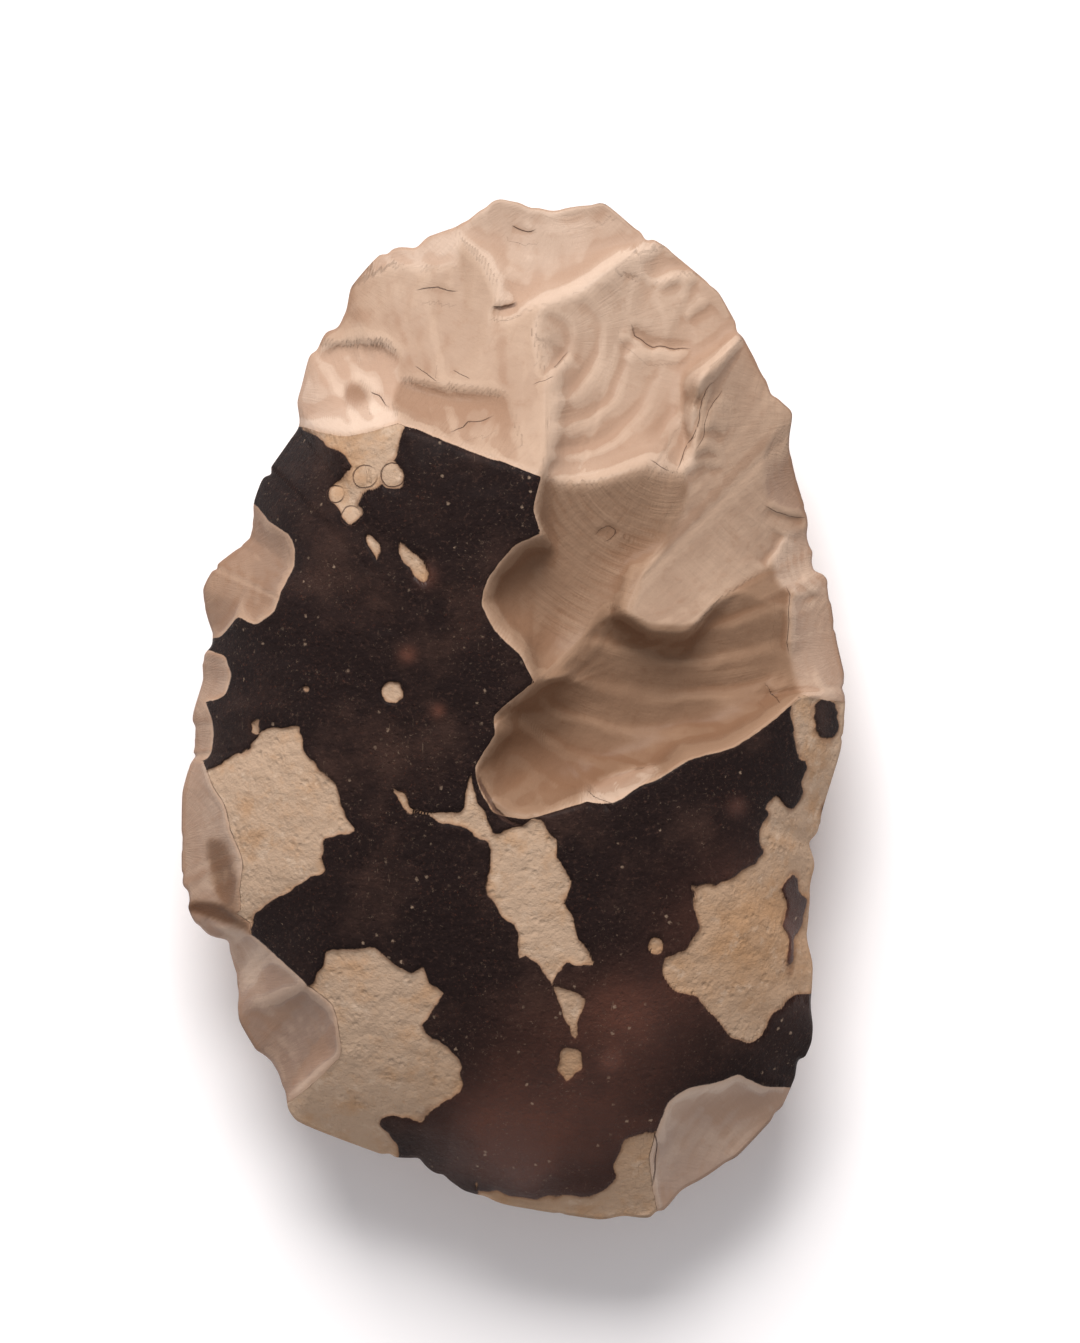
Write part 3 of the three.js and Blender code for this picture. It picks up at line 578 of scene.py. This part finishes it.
class Stone:
    """The whole stone: two flaked faces that meet in one edge line, with fine relief and masks on each."""

    EDGE_STEPS, EDGE_PASSES = 720, 10  # points on the edge line, and how often it is evened
    CHIP_ROUND = 60  # millimetres, radius of the round on which the chips are read
    GROOVE_WIDTH, STEP_REACH = 0.6, 0.8  # millimetres across a groove, and beside a step
    LINE_REACH, NO_LINE = 2.5, 9.0  # how far from a dark line it is read, and the value where there is none
    LINE_EDGE = 0.2  # the value at a dark line's half width
    # Painted light: the near average sets the painted highlight on ridges and the painted shade in creases,
    # the far one the painted shade in hollows.
    RIDGE_PASSES, RAISED_PASSES = 5, 150  # averages that a point is held against, near and far

    def __init__(self, form):
        self.form = form
        self.outline = Rim(OUTLINE, (0, 0), 24)
        self.middle = (self.outline.low + self.outline.high) / 2
        self.front = Face(form, form.front_rise, FRONT_SCARS)
        self.back = Face(form, -form.back_drop, BACK_SCARS)
        ring = np.arange(self.EDGE_STEPS) * 2 * pi / self.EDGE_STEPS
        x, y = self.outline.reach(ring) * np.cos(ring), self.outline.reach(ring) * np.sin(ring)
        self.front_rim, self.back_rim = self.front.flaked(x, y)[0], self.back.flaked(x, y)[0]
        self.edge = (self.front_rim + self.back_rim) / 2
        for _ in range(self.EDGE_PASSES):
            self.edge = evened(self.edge)

    def face_height(self, face, rim, x, y, angle, gap):
        """The flaked height, drawn to the edge line by exp(-gap / fade), with the facts of flaked()."""
        z, which, inside, widest = face.flaked(x, y)
        pull = read_round(self.edge, angle) - read_round(rim, angle)
        return z + pull * np.exp(-gap / (self.form.edge_fade / MM)), which, inside, widest

    def chips(self, angle):
        """Small bites out of the edge: the positive part of two random rounds, squared, in millimetres."""
        x, y = self.CHIP_ROUND * np.cos(angle), self.CHIP_ROUND * np.sin(angle)
        coarse, fine = (np.maximum(rough(x, y, lumps), 0) ** 2 for lumps in (CHIPS, SMALL_CHIPS))
        return self.form.chip_depth / MM * (coarse + 0.5 * fine)

    def chalk(self, x, y):
        """How far inside the nearest chalk patch: outlines and dots joined, less the lenses of skin."""
        far = np.full(np.shape(x), -FAR)
        for points in CHALK_PATCHES.values():
            far = np.maximum(far, inside_by(points, x, y))
        for cx, cy, radius in CHALK_DOTS + SHELLS:
            far = np.maximum(far, radius - np.hypot(x - cx, y - cy))
        for cx, cy, half_width, half_length in SKIN_LENSES:
            oval = np.hypot((x - cx) / half_width, (y - cy) / half_length)
            far = np.minimum(far, (oval - 1) * min(half_width, half_length))
        return far

    def marks(self, x, y):
        """Height of the cracks and steps, signed distance from the nearest dark line, and its strength. The
        shells' rims are marks as well, round circles."""
        turn = np.linspace(0.3, 2 * pi + 0.3, 15)
        shells = [Mark("shell", dark=0.11, groove=0.22, lift=0.2, line=np.stack(
            [cx + radius * np.cos(turn), cy + radius * np.sin(turn)], -1)) for cx, cy, radius in SHELLS]
        z, dark, here = np.zeros_like(x), np.full(np.shape(x), self.NO_LINE), np.zeros_like(x)
        wobble = rough(x, y, MARK_WOBBLE)
        for mark in MARKS + shells:
            line = np.asarray(mark.line, float)
            low, high = line.min(0) - 4, line.max(0) + 4
            k = np.flatnonzero((x > low[0]) & (x < high[0]) & (y > low[1]) & (y < high[1]))
            signed, share = beside(line, x[k], y[k])
            signed = signed + wobble[k]
            z[k] -= mark.groove * share * np.exp(-((signed / self.GROOVE_WIDTH) ** 2))
            beyond = signed / self.STEP_REACH
            z[k] += mark.lift * share * beyond * np.exp(1 - np.abs(beyond))
            if mark.dark:
                near = np.abs(signed) < np.minimum(np.abs(dark[k]), self.LINE_REACH)
                dark[k[near]] = signed[near] * self.LINE_EDGE / mark.dark
                here[k[near]] = share[near]
        return z, dark, here

    def surface(self, face, rim, x, y, angle, gap, chalk):
        """Coarse height plus ripples in the scars, undulations and pits in the skin, and sunken chalk."""
        form = self.form
        z, which, inside, widest = self.face_height(face, rim, x, y, angle, gap)
        side = int(np.sqrt(x.size))
        z = spread(z.reshape(side, side), 1).ravel()
        tone, shade = np.zeros_like(x), np.ones_like(x)
        fine, along, across = np.zeros_like(x), np.zeros_like(x), np.zeros_like(x)
        for i, scar in enumerate(face.scars, 1):
            here = which == i
            along[here], across[here] = scar.fan(x[here], y[here])
            # Each scar's shade: partly painted shade for how it faced the light, partly patina.
            tone[here], shade[here] = scar.row.tone, scar.row.shade
            fine[here] += scar.waves(x[here], y[here], inside[here]) * form.ripple_strength
        skin = -widest
        tone, shade = (spread(values.reshape(side, side), 2).ravel() for values in (tone, shade))
        on_skin = soft_step(skin / 0.6 + 0.5)
        chalk = np.minimum(chalk + rough(x, y, CHALK_RAGGED), skin + 0.4)
        on_chalk = soft_step(chalk / 0.55 + 0.5)
        fine += (1 - on_skin) * rough(x, y, SCAR_GRAIN)
        fine += on_skin * (1 - on_chalk) * (rough(x, y, SKIN_SWELL) + rough(x, y, SKIN_GRAIN))
        fine += on_skin * on_chalk * (rough(x, y, CHALK_LUMPS) - form.chalk_depth / MM)
        if face is self.front:
            lines, dark, strength = self.marks(x, y)
            fine += lines
        else:
            dark, strength = np.full(np.shape(x), self.NO_LINE), np.zeros_like(x)
        z = z + fine * soft_step(gap / 1.2)
        masks = {"skin": skin, "chalk": chalk, "tone": tone, "shade": shade, "along": along,
                 "across": across, "dark": dark, "strength": strength, "facet": np.clip(inside, -9, 9)}
        return z, masks

    def mesh(self, n):
        """Vertices, faces and masks of both faces on one bent grid each, joined along the rim. The back
        takes every other corner of the grid, and its outermost faces take the rim's corners between."""
        out, angle = spread_square(n)
        reach = self.outline.reach(angle) - self.chips(angle)
        x, y, gap = out * reach * np.cos(angle), out * reach * np.sin(angle), reach * (1 - out)
        rim = out > 1 - 1e-9
        row, column = (g.ravel() for g in np.indices((n + 1, n + 1)))
        kept = (row % 2 == 0) & (column % 2 == 0)
        front, front_masks = self.surface(self.front, self.front_rim, x, y, angle, gap, self.chalk(x, y))
        x2, y2, angle2, gap2 = (values[kept] for values in (x, y, angle, gap))
        loose = rough(x2, y2, BACK_PATCHES) - BACK_SKIN
        back, back_masks = self.surface(self.back, self.back_rim, x2, y2, angle2, gap2, loose)
        back = np.minimum(np.maximum(back, 0), front[kept] - np.minimum(0.6 * gap2, 5))
        front[rim] = read_round(self.edge, angle[rim])
        back[rim[kept]] = read_round(self.edge, angle2[rim[kept]])
        for heights, masks in ((front, front_masks), (-back, back_masks)):
            side = int(np.sqrt(heights.size))
            grid = heights.reshape(side, side)
            # Painted highlight and shade: height over the near average lightens ridges and darkens creases,
            # and height below the far average darkens hollows.
            masks["ridge"] = (grid - spread(grid, self.RIDGE_PASSES)).ravel()
            masks["raised"] = (grid - spread(grid, self.RAISED_PASSES)).ravel()

        under = ~rim[kept]
        place = np.stack([x - self.middle[0], y - self.middle[1]], -1)
        points = np.concatenate([np.column_stack([place, front]),
                                 np.column_stack([place[kept][under], back[under]])])
        loops, counts = sewn(n, rim, kept)
        masks = {k: np.concatenate([front_masks[k], back_masks[k][under]]) for k in front_masks}
        masks["rust"] = sum(np.exp(-((points[:, 0] - a) ** 2 + (points[:, 1] - b) ** 2) / r**2)
                            for a, b, r in RUST_SPOTS)
        return points * MM, loops, counts, masks


def make_piece(name, points, loops, counts, masks):
    """A smooth mesh object at the origin: its points, the corners of all faces in a row, how many each face
    takes, and masks with one number per point."""
    mesh = bpy.data.meshes.new(name)
    mesh.vertices.add(len(points))
    mesh.vertices.foreach_set("co", points.astype(np.float32).ravel())
    mesh.loops.add(len(loops))
    mesh.loops.foreach_set("vertex_index", loops.astype(np.int32))
    mesh.polygons.add(len(counts))
    mesh.polygons.foreach_set("loop_start", (np.cumsum(counts) - counts).astype(np.int32))
    mesh.update(calc_edges=True)
    mesh.shade_smooth()
    for key, values in masks.items():
        mesh.attributes.new(key, "FLOAT", "POINT").data.foreach_set("value", values.astype(np.float32))
    mesh.validate()
    piece = bpy.data.objects.new(name, mesh)
    bpy.context.scene.collection.objects.link(piece)
    return piece


# Shader maths

class Value:
    """A node's output that adds its own Math nodes when it is used in a sum."""

    def __init__(self, graph, socket):
        self.graph, self.socket = graph, socket

    def math(self, operation, *others):
        return self.graph.add("ShaderNodeMath", {"operation": operation}, self, *others)

    def __add__(self, other): return self.math("ADD", other)
    __radd__ = __add__
    def __mul__(self, other): return self.math("MULTIPLY", other)
    __rmul__ = __mul__
    def __sub__(self, other): return self.math("SUBTRACT", other)
    def __rsub__(self, other):
        return self.graph.add("ShaderNodeMath", {"operation": "SUBTRACT"}, other, self)
    def __pow__(self, other): return self.math("POWER", other)
    def __abs__(self): return self.math("ABSOLUTE")

    def step(self, low, high):
        """0 below low, 1 above high, smooth between; low above high turns it round."""
        settings = {"interpolation_type": "SMOOTHSTEP"}
        if low < high:
            return self.graph.add("ShaderNodeMapRange", settings, self, low, high, 0.0, 1.0)
        return self.graph.add("ShaderNodeMapRange", settings, self, high, low, 1.0, 0.0)


def opaque(colour):
    """A colour of three numbers with its fourth, 1. A node's output stays as it is."""
    return colour if isinstance(colour, Value) else (*colour, 1)


class Graph:
    """A material's nodes."""

    def __init__(self, name):
        self.material = bpy.data.materials.new(name)
        self.material.use_nodes = True
        self.nodes, self.links = self.material.node_tree.nodes, self.material.node_tree.links
        self.nodes.clear()

    def add(self, kind, settings, *values, out=0):
        """A node of that kind: its settings first, then its sockets in order, then the wanted output."""
        node = self.nodes.new(kind)
        for key, value in settings.items():
            setattr(node, key, value)
        for socket, value in zip(node.inputs, values):
            self.feed(socket, value)
        return Value(self, node.outputs[out])

    def feed(self, socket, value):
        """Link a node's output to a socket, or set a number, vector or colour on it."""
        if isinstance(value, Value):
            self.links.new(value.socket, socket)
        elif value is not None:
            socket.default_value = value

    def mask(self, name):
        """One of the mesh's masks, as a number."""
        return self.add("ShaderNodeAttribute", {"attribute_name": name}, out=2)

    def millimetres(self):
        """The place on the piece."""
        place = self.add("ShaderNodeTexCoord", {}, out=3)
        return self.add("ShaderNodeVectorMath", {"operation": "SCALE"}, place, None, None, 1 / MM)

    def noise(self, where, size, detail=4.0, roughness=0.5):
        """Noise from 0 to 1 whose largest lumps are size millimetres."""
        return self.add("ShaderNodeTexNoise", {}, where, None, 1 / size, detail, roughness)

    def cells(self, where, size):
        """Distance to the nearest of scattered dots about size millimetres apart, in sizes."""
        return self.add("ShaderNodeTexVoronoi", {}, where, None, 1 / size)

    def mix(self, share, first, second, blend="MIX"):
        """The first colour with a share of the second, held between none and all of it."""
        node = self.nodes.new("ShaderNodeMix")
        node.data_type, node.blend_type, node.clamp_factor = "RGBA", blend, True
        for i, value in ((0, share), (6, opaque(first)), (7, opaque(second))):
            self.feed(node.inputs[i], value)
        return Value(self, node.outputs[2])

    def finish(self, colour, roughness, height, strength, distance, coat=None, **fixed):
        """The surface: what varies over it, a bump from the height, and fixed numbers on the shader."""
        bump = self.nodes.new("ShaderNodeBump")
        bump.inputs["Strength"].default_value = strength
        bump.inputs["Distance"].default_value = distance
        self.feed(bump.inputs["Height"], height)
        shader = self.nodes.new("ShaderNodeBsdfPrincipled")
        self.feed(shader.inputs["Base Color"], opaque(colour))
        self.feed(shader.inputs["Roughness"], roughness)
        self.feed(shader.inputs["Coat Weight"], coat)
        self.links.new(bump.outputs[0], shader.inputs["Normal"])
        for key, value in fixed.items():
            shader.inputs[key.replace("_", " ")].default_value = value
        end = self.nodes.new("ShaderNodeOutputMaterial")
        self.links.new(shader.outputs[0], end.inputs[0])
        return self.material


def scar_colour(g, look, m, n):
    """Tan to grey, clouded and flecked, ginger beside the skin, with faint rings and rays round the blow,
    painted highlight on ridges, painted shade in creases and hollows, and each scar's shade multiplied in."""
    scar = g.mix(m.tone, look.tan, look.grey)
    scar = g.mix((n.coarse - 0.42) * 2.6, scar, look.tan_pale)
    scar = g.mix(n.fine.step(0.52, 0.8) * 0.4, scar, look.tan_dark)
    scar = g.mix(n.speckle.step(0.62, 0.75) * 0.25, scar, look.tan_dark)
    scar = g.mix((m.skin * -1 + n.ragged * 0.5).step(0.9, -0.1) * 0.55, scar, look.ginger)
    scar = g.mix(n.rings.step(0.02, 0.25) * 0.2 + n.rays.step(0.5, 0.75) * 0.12, scar, look.tan_pale)
    scar = g.mix(n.rings.step(-0.02, -0.25) * 0.25, scar, look.tan_dark)
    # Painted highlight: pale tan on ridges that stand above their near surroundings.
    scar = g.mix(m.ridge.step(0.01, 0.07) * 0.45, scar, look.tan_pale)
    # Painted shade: dark tan in hollows below the far average and in creases below the near one.
    scar = g.mix(m.raised.step(-0.1, -1.4) * 0.3 + m.ridge.step(-0.02, -0.1) * 0.4, scar, look.tan_dark)
    # Painted shade, partly patina: each scar's shade darkens it and browns it.
    shade_and_patina = g.add("ShaderNodeCombineColor", {}, m.shade, m.shade ** 1.3, m.shade ** 1.6)
    return g.mix(1.0, scar, shade_and_patina, "MULTIPLY")


def skin_colour(g, look, m, n):
    """Chocolate with reddish clouds, brown grain, pale specks, grey dust and short scratches."""
    cloud = g.noise(n.at, 14.0, 6.0, 0.6)
    skin = g.mix(cloud.step(0.45, 0.75) * 0.6, look.skin, look.skin_brown)
    skin = g.mix(m.rust * cloud * 1.6, skin, look.rust)
    skin = g.mix(g.noise(n.at, 0.7, 6.0, 0.75).step(0.52, 0.72) * 0.75, skin, look.skin_brown)
    red = g.noise(n.at, 0.5, 5.0, 0.7).step(0.58, 0.72) * g.noise(n.at, 11.0, 3.0).step(0.45, 0.65)
    skin = g.mix(red * 0.7, skin, look.rust)
    specks = (g.cells(n.at, 2.3) + (n.speckle - 0.5) * 0.35).step(0.15, 0.05)
    specks = specks * g.noise(n.at, 6.0, 2.0).step(0.48, 0.62)
    dust = g.noise(n.at, 0.6, 5.0, 0.75).step(0.58, 0.74) * g.noise(n.at, 8.0, 4.0, 0.6).step(0.38, 0.62)
    drawn_out = g.add("ShaderNodeVectorMath", {"operation": "MULTIPLY"}, n.at, (3.2, 0.5, 1.0))
    scratches = g.noise(drawn_out, 2.0, 3.0).step(0.68, 0.76) * g.noise(n.at, 13.0, 2.0).step(0.5, 0.7)
    return g.mix(specks * 0.6 + dust * 0.45 + scratches * 0.25, skin, look.chalk)


def chalk_colour(g, look, m, n):
    """Cream with orange-brown stains and paler places, darker along its broken edge."""
    stain = g.noise(n.at, 5.5, 6.0, 0.62)
    cream = g.mix(stain.step(0.45, 0.7) * 0.7, look.chalk, look.stain)
    cream = g.mix(m.rust * (stain + 0.3), cream, look.stain)
    cream = g.mix(g.noise(n.at, 3.0, 4.0, 0.6).step(0.55, 0.72) * 0.45, cream, look.chalk_white)
    cream = g.mix(g.noise(n.at, 0.8, 3.0, 0.6).step(0.55, 0.8) * 0.5, cream, look.stain)
    return g.mix((m.chalk + n.ragged * 0.4).step(0.7, 0.0) * 0.6, cream, look.stain_dark)


def flint_noises(g, m):
    """The noises that colour and height share. Rings run round the blow and rays away from it."""
    at = g.millimetres()
    inner = m.facet.step(0.0, 0.6)
    round_blow = g.add("ShaderNodeCombineXYZ", {}, m.along * 3.0, m.across * 0.05, 0.0)
    from_blow = g.add("ShaderNodeCombineXYZ", {}, m.along * 0.8, m.across * 0.9, 0.0)
    bands = (g.noise(round_blow, 1.0, 4.0, 0.6) - 0.5) * inner
    return SimpleNamespace(
        at=at, inner=inner, rays=g.noise(from_blow, 1.0, 5.0, 0.65),
        rings=bands * g.noise(at, 9.0, 2.0).step(0.35, 0.65),
        coarse=g.noise(at, 9.0, 5.0), fine=g.noise(at, 1.6, 5.0, 0.6), grain=g.noise(at, 0.6, 6.0, 0.65),
        speckle=g.noise(at, 0.35, 3.0, 0.6), ragged=(g.noise(at, 2.2, 5.0, 0.62) - 0.5) * 1.5)


def flint_material(look):
    """Pale scars, dark skin and chalk, parted by the masks with a ragged fine edge."""
    g = Graph("flint")
    m = SimpleNamespace(**{key: g.mask(key) for key in (
        "skin", "chalk", "tone", "shade", "facet", "rust", "along", "across", "dark", "strength", "ridge",
        "raised")})
    n = flint_noises(g, m)
    on_chalk = (m.chalk + n.ragged * 0.45).step(-0.1, 0.12)
    on_skin = (m.skin + n.ragged * 0.35).step(-0.08, 0.1)
    crack = (abs(m.dark) + (n.fine - 0.5) * 0.3).step(0.26, 0.06) * m.strength * (0.45 + n.fine * 0.9)
    pits = g.cells(n.at, 0.9).step(0.34, 0.1) * g.noise(n.at, 3.0, 2.0).step(0.45, 0.6)
    crumbs = g.cells(n.at, 1.3).step(0.5, 0.1) * g.noise(n.at, 3.5, 3.0).step(0.45, 0.62)

    rind = g.mix(on_chalk, skin_colour(g, look, m, n), chalk_colour(g, look, m, n))
    colour = g.mix(crack * 0.8, g.mix(on_skin, scar_colour(g, look, m, n), rind), look.skin_brown)

    rough_skin = look.skin_roughness - m.rust * 0.25 + (n.coarse - 0.5) * 0.4 + pits * 0.2
    rough_rind = on_chalk * look.chalk_roughness + (1 - on_chalk) * rough_skin
    roughness = on_skin * rough_rind + (1 - on_skin) * (look.scar_roughness + (n.fine - 0.5) * 0.25)

    height_scar = n.grain * 0.06 + n.fine * 0.08 + n.rings * 0.22 + (n.rays - 0.5) * n.inner * 0.12
    height_skin = g.noise(n.at, 0.9, 8.0, 0.72) * 0.62 + n.fine * 0.4 - pits * 0.12
    height_chalk = n.grain * 0.14 + g.noise(n.at, 3.4, 7.0, 0.6) * 0.9 - crumbs * 0.16 - 0.25
    height_rind = on_chalk * height_chalk + (1 - on_chalk) * height_skin
    height = on_skin * height_rind + (1 - on_skin) * height_scar - crack * 0.25

    coat = (1 - on_skin) * 0.10 + on_skin * (1 - on_chalk) * (m.rust * 0.35 + 0.04)
    return g.finish(colour, roughness, height, 1.0, look.grain_depth, coat=coat,
                    Coat_Roughness=look.coat_roughness, Specular_IOR_Level=look.specular)


def paper_material(stage):
    """The floor's plain paper, with a faint grain."""
    g = Graph("floor_paper")
    grain = g.noise(g.millimetres(), 1.2, 3.0)
    return g.finish(stage.floor, stage.floor_roughness, grain, 0.05, 0.1 * MM)


# What a user can change

def number(name, description, default, **options):
    return bpy.props.FloatProperty(name=name, description=description, default=default, **options)


def length(name, description, default):
    return number(name, description, default, unit="LENGTH", precision=5)


def colour(name, description, default):
    return bpy.props.FloatVectorProperty(name=name, description=description, default=default, size=3,
                                         subtype="COLOR", min=0, max=1)


class HandAxeForm(bpy.types.PropertyGroup):
    """Sizes of the stone."""
    half_width: length("Half width", "Half width of the stone before flaking", 0.052)
    half_length: length("Half length", "Half length of the stone before flaking", 0.080)
    edge_height: length("Edge height", "Mean height of the edge line over the resting face", 0.021)
    front_rise: length("Front rise", "Front face above the edge line", 0.023)
    back_drop: length("Back drop", "Back face below the edge line", 0.0226)
    width_taper: number("Width taper", "Share of the width lost towards the tip", 0.1)
    plan_squareness: number("Plan squareness", "Exponent of the oval plan", 2.3, min=2)
    face_fullness: number("Face fullness", "Exponent of the faces: higher is flatter on top", 3.4, min=1)
    edge_fade: length("Edge fade", "Reach of the pull towards the edge line", 0.007)
    chip_depth: length("Edge chips", "Depth of the deepest bites out of the edge", 0.0016)
    chalk_depth: length("Chalk depth", "How far the chalk lies below the skin", 0.00055)
    ripple_strength: number("Ripples", "Height of the ripples in the scars", 1.0, min=0)
    squares: bpy.props.IntProperty(name="Grid", description="Squares along each side of a face's grid",
                                   default=282, min=20, max=282)


class HandAxeLook(bpy.types.PropertyGroup):
    """Colours of the stone."""
    tan: colour("Tan", "Older flake scars", (0.465, 0.342, 0.266))
    # Pale tan also paints the highlight on ridges.
    tan_pale: colour("Pale tan", "Clouds and ridges in the scars", (0.585, 0.45, 0.36))
    # Dark tan also paints the shade in creases and hollows.
    tan_dark: colour("Dark tan", "Flecks in the scars", (0.36, 0.225, 0.155))
    grey: colour("Grey", "Younger flake scars", (0.36, 0.262, 0.215))
    ginger: colour("Ginger", "Stain in the scars beside the skin", (0.42, 0.22, 0.115))
    skin: colour("Skin", "Dark weathered skin", (0.0165, 0.0095, 0.009))
    skin_brown: colour("Brown skin", "Paler clouds in the skin", (0.072, 0.038, 0.029))
    rust: colour("Rust", "Reddish places in the skin", (0.105, 0.036, 0.022))
    chalk: colour("Chalk", "Chalky rind under the skin", (0.425, 0.3, 0.213))
    chalk_white: colour("White chalk", "Palest places in the rind", (0.56, 0.43, 0.33))
    stain: colour("Stain", "Orange-brown stains in the chalk", (0.40, 0.235, 0.130))
    stain_dark: colour("Dark stain", "Broken edge of the chalk", (0.20, 0.098, 0.052))
    scar_roughness: number("Scar roughness", "Roughness of the scars", 0.5, min=0, max=1)
    skin_roughness: number("Skin roughness", "Roughness of the skin", 0.58, min=0, max=1)
    chalk_roughness: number("Chalk roughness", "Roughness of the chalk", 0.88, min=0, max=1)
    coat_roughness: number("Coat roughness", "Roughness of the thin gloss", 0.35, min=0, max=1)
    specular: number("Specular", "Strength of the reflections", 0.04, min=0, max=1)
    grain_depth: length("Grain depth", "Height of the finest grain", 0.001)


class HandAxeStage(bpy.types.PropertyGroup):
    """Floor, light and camera."""
    floor: colour("Floor", "Plain pale floor", (0.96, 0.945, 0.965))
    floor_roughness: number("Floor roughness", "Roughness of the floor", 0.9, min=0, max=1)
    floor_reach: length("Floor reach", "Half the side of the floor", 3.0)
    world_colour: colour("Surround colour", "Colour of the even light", (1.0, 0.985, 0.99))
    world: number("Surround", "Strength of the even light from all round", 0.48, min=0)
    key_power: number("Key", "Power of the main soft light", 90.0, unit="POWER", min=0)
    key_size: length("Key size", "Side of the main light", 1.5)
    key_distance: length("Key distance", "From the stone to the main light", 2.6)
    key_turn: number("Key turn", "Where the main light stands round the stone", radians(98),
                     subtype="ANGLE")
    key_tilt: number("Key tilt", "Height of the main light as an angle", radians(42), subtype="ANGLE")
    key_colour: colour("Key colour", "Colour of the main light", (1.0, 0.97, 0.94))
    camera_height: length("Camera height", "Above the edge line", 1.3)
    view_width: length("View width", "Width of the picture at the edge line", 0.16875)
    view_x: length("View x", "Centre of the picture", 0.00406)
    view_y: length("View y", "Centre of the picture", 0.00570)


class HANDAXE_OT_stone(bpy.types.Operator):
    """Make the flaked stone in place of its plain solid"""
    bl_idname = "handaxe.stone"
    bl_label = "Stone"

    def execute(self, context):
        scene = context.scene
        stone = Stone(scene.handaxe_form)
        piece = make_piece("hand_axe_stone", *stone.mesh(scene.handaxe_form.squares))
        piece.data.materials.append(flint_material(scene.handaxe_look))
        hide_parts("hand_axe")
        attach(piece, "root")
        return {"FINISHED"}


class HANDAXE_OT_stage(bpy.types.Operator):
    """Make the floor, the light and the camera"""
    bl_idname = "handaxe.stage"
    bl_label = "Stage"

    def execute(self, context):
        scene, stage = context.scene, context.scene.handaxe_stage
        side = stage.floor_reach
        corners = [(-side, -side, 0), (side, -side, 0), (side, side, 0), (-side, side, 0)]
        mesh = bpy.data.meshes.new("floor")
        mesh.from_pydata(corners, [], [(0, 1, 2, 3)])
        floor = bpy.data.objects.new("floor", mesh)
        floor.data.materials.append(paper_material(stage))
        scene.collection.objects.link(floor)
        floor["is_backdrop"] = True

        world = bpy.data.worlds.new("surround")
        world.use_nodes = True
        background = world.node_tree.nodes["Background"]
        background.inputs["Color"].default_value = opaque(stage.world_colour)
        background.inputs["Strength"].default_value = stage.world
        scene.world = world

        lamp = bpy.data.lights.new("key", "AREA")
        lamp.size, lamp.energy, lamp.color = stage.key_size, stage.key_power, stage.key_colour
        key = bpy.data.objects.new("key", lamp)
        flat = stage.key_distance * np.cos(stage.key_tilt)
        key.location = (flat * np.cos(stage.key_turn), flat * np.sin(stage.key_turn),
                        stage.key_distance * np.sin(stage.key_tilt))
        key.rotation_euler = (pi / 2 - stage.key_tilt, 0, stage.key_turn + pi / 2)
        scene.collection.objects.link(key)

        camera = bpy.data.objects.new("camera", bpy.data.cameras.new("camera"))
        camera.location = (stage.view_x, stage.view_y,
                           scene.handaxe_form.edge_height + stage.camera_height)
        camera.data.sensor_width = SENSOR
        camera.data.lens = SENSOR * stage.camera_height / (stage.view_width * PICTURE_SHAPE)
        camera.data.clip_start, camera.data.clip_end = 0.05, 20
        scene.collection.objects.link(camera)
        scene.camera = camera
        scene.view_settings.view_transform = "Standard"
        return {"FINISHED"}


class HANDAXE_PT_panel(bpy.types.Panel):
    """Sizes, colours and buttons of the hand axe"""
    bl_idname = "HANDAXE_PT_panel"
    bl_label = "Hand axe"
    bl_space_type = "VIEW_3D"
    bl_region_type = "UI"
    bl_category = "Hand axe"

    def draw(self, context):
        for operator, group in ((HANDAXE_OT_stone, "handaxe_form"), (None, "handaxe_look"),
                                (HANDAXE_OT_stage, "handaxe_stage")):
            box = self.layout.box()
            settings = getattr(context.scene, group)
            for key in settings.bl_rna.properties.keys():
                if key not in ("rna_type", "name"):
                    box.prop(settings, key)
            if operator:
                box.operator(operator.bl_idname)


GROUPS = {"handaxe_form": HandAxeForm, "handaxe_look": HandAxeLook, "handaxe_stage": HandAxeStage}
CLASSES = (*GROUPS.values(), HANDAXE_OT_stone, HANDAXE_OT_stage, HANDAXE_PT_panel)


def register():
    for cls in CLASSES:
        bpy.utils.register_class(cls)
    for key, cls in GROUPS.items():
        setattr(bpy.types.Scene, key, bpy.props.PointerProperty(type=cls))


def unregister():
    for key in GROUPS:
        delattr(bpy.types.Scene, key)
    for cls in reversed(CLASSES):
        bpy.utils.unregister_class(cls)


def main():
    register()
    bpy.ops.handaxe.stage()
    bpy.ops.handaxe.stone()
    boxes = {"cad": CAD_BOX, "visual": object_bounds()}
    {k: [list(map(float, corner)) for corner in box] for k, box in boxes.items()}


if __name__ == "__main__":
    main()
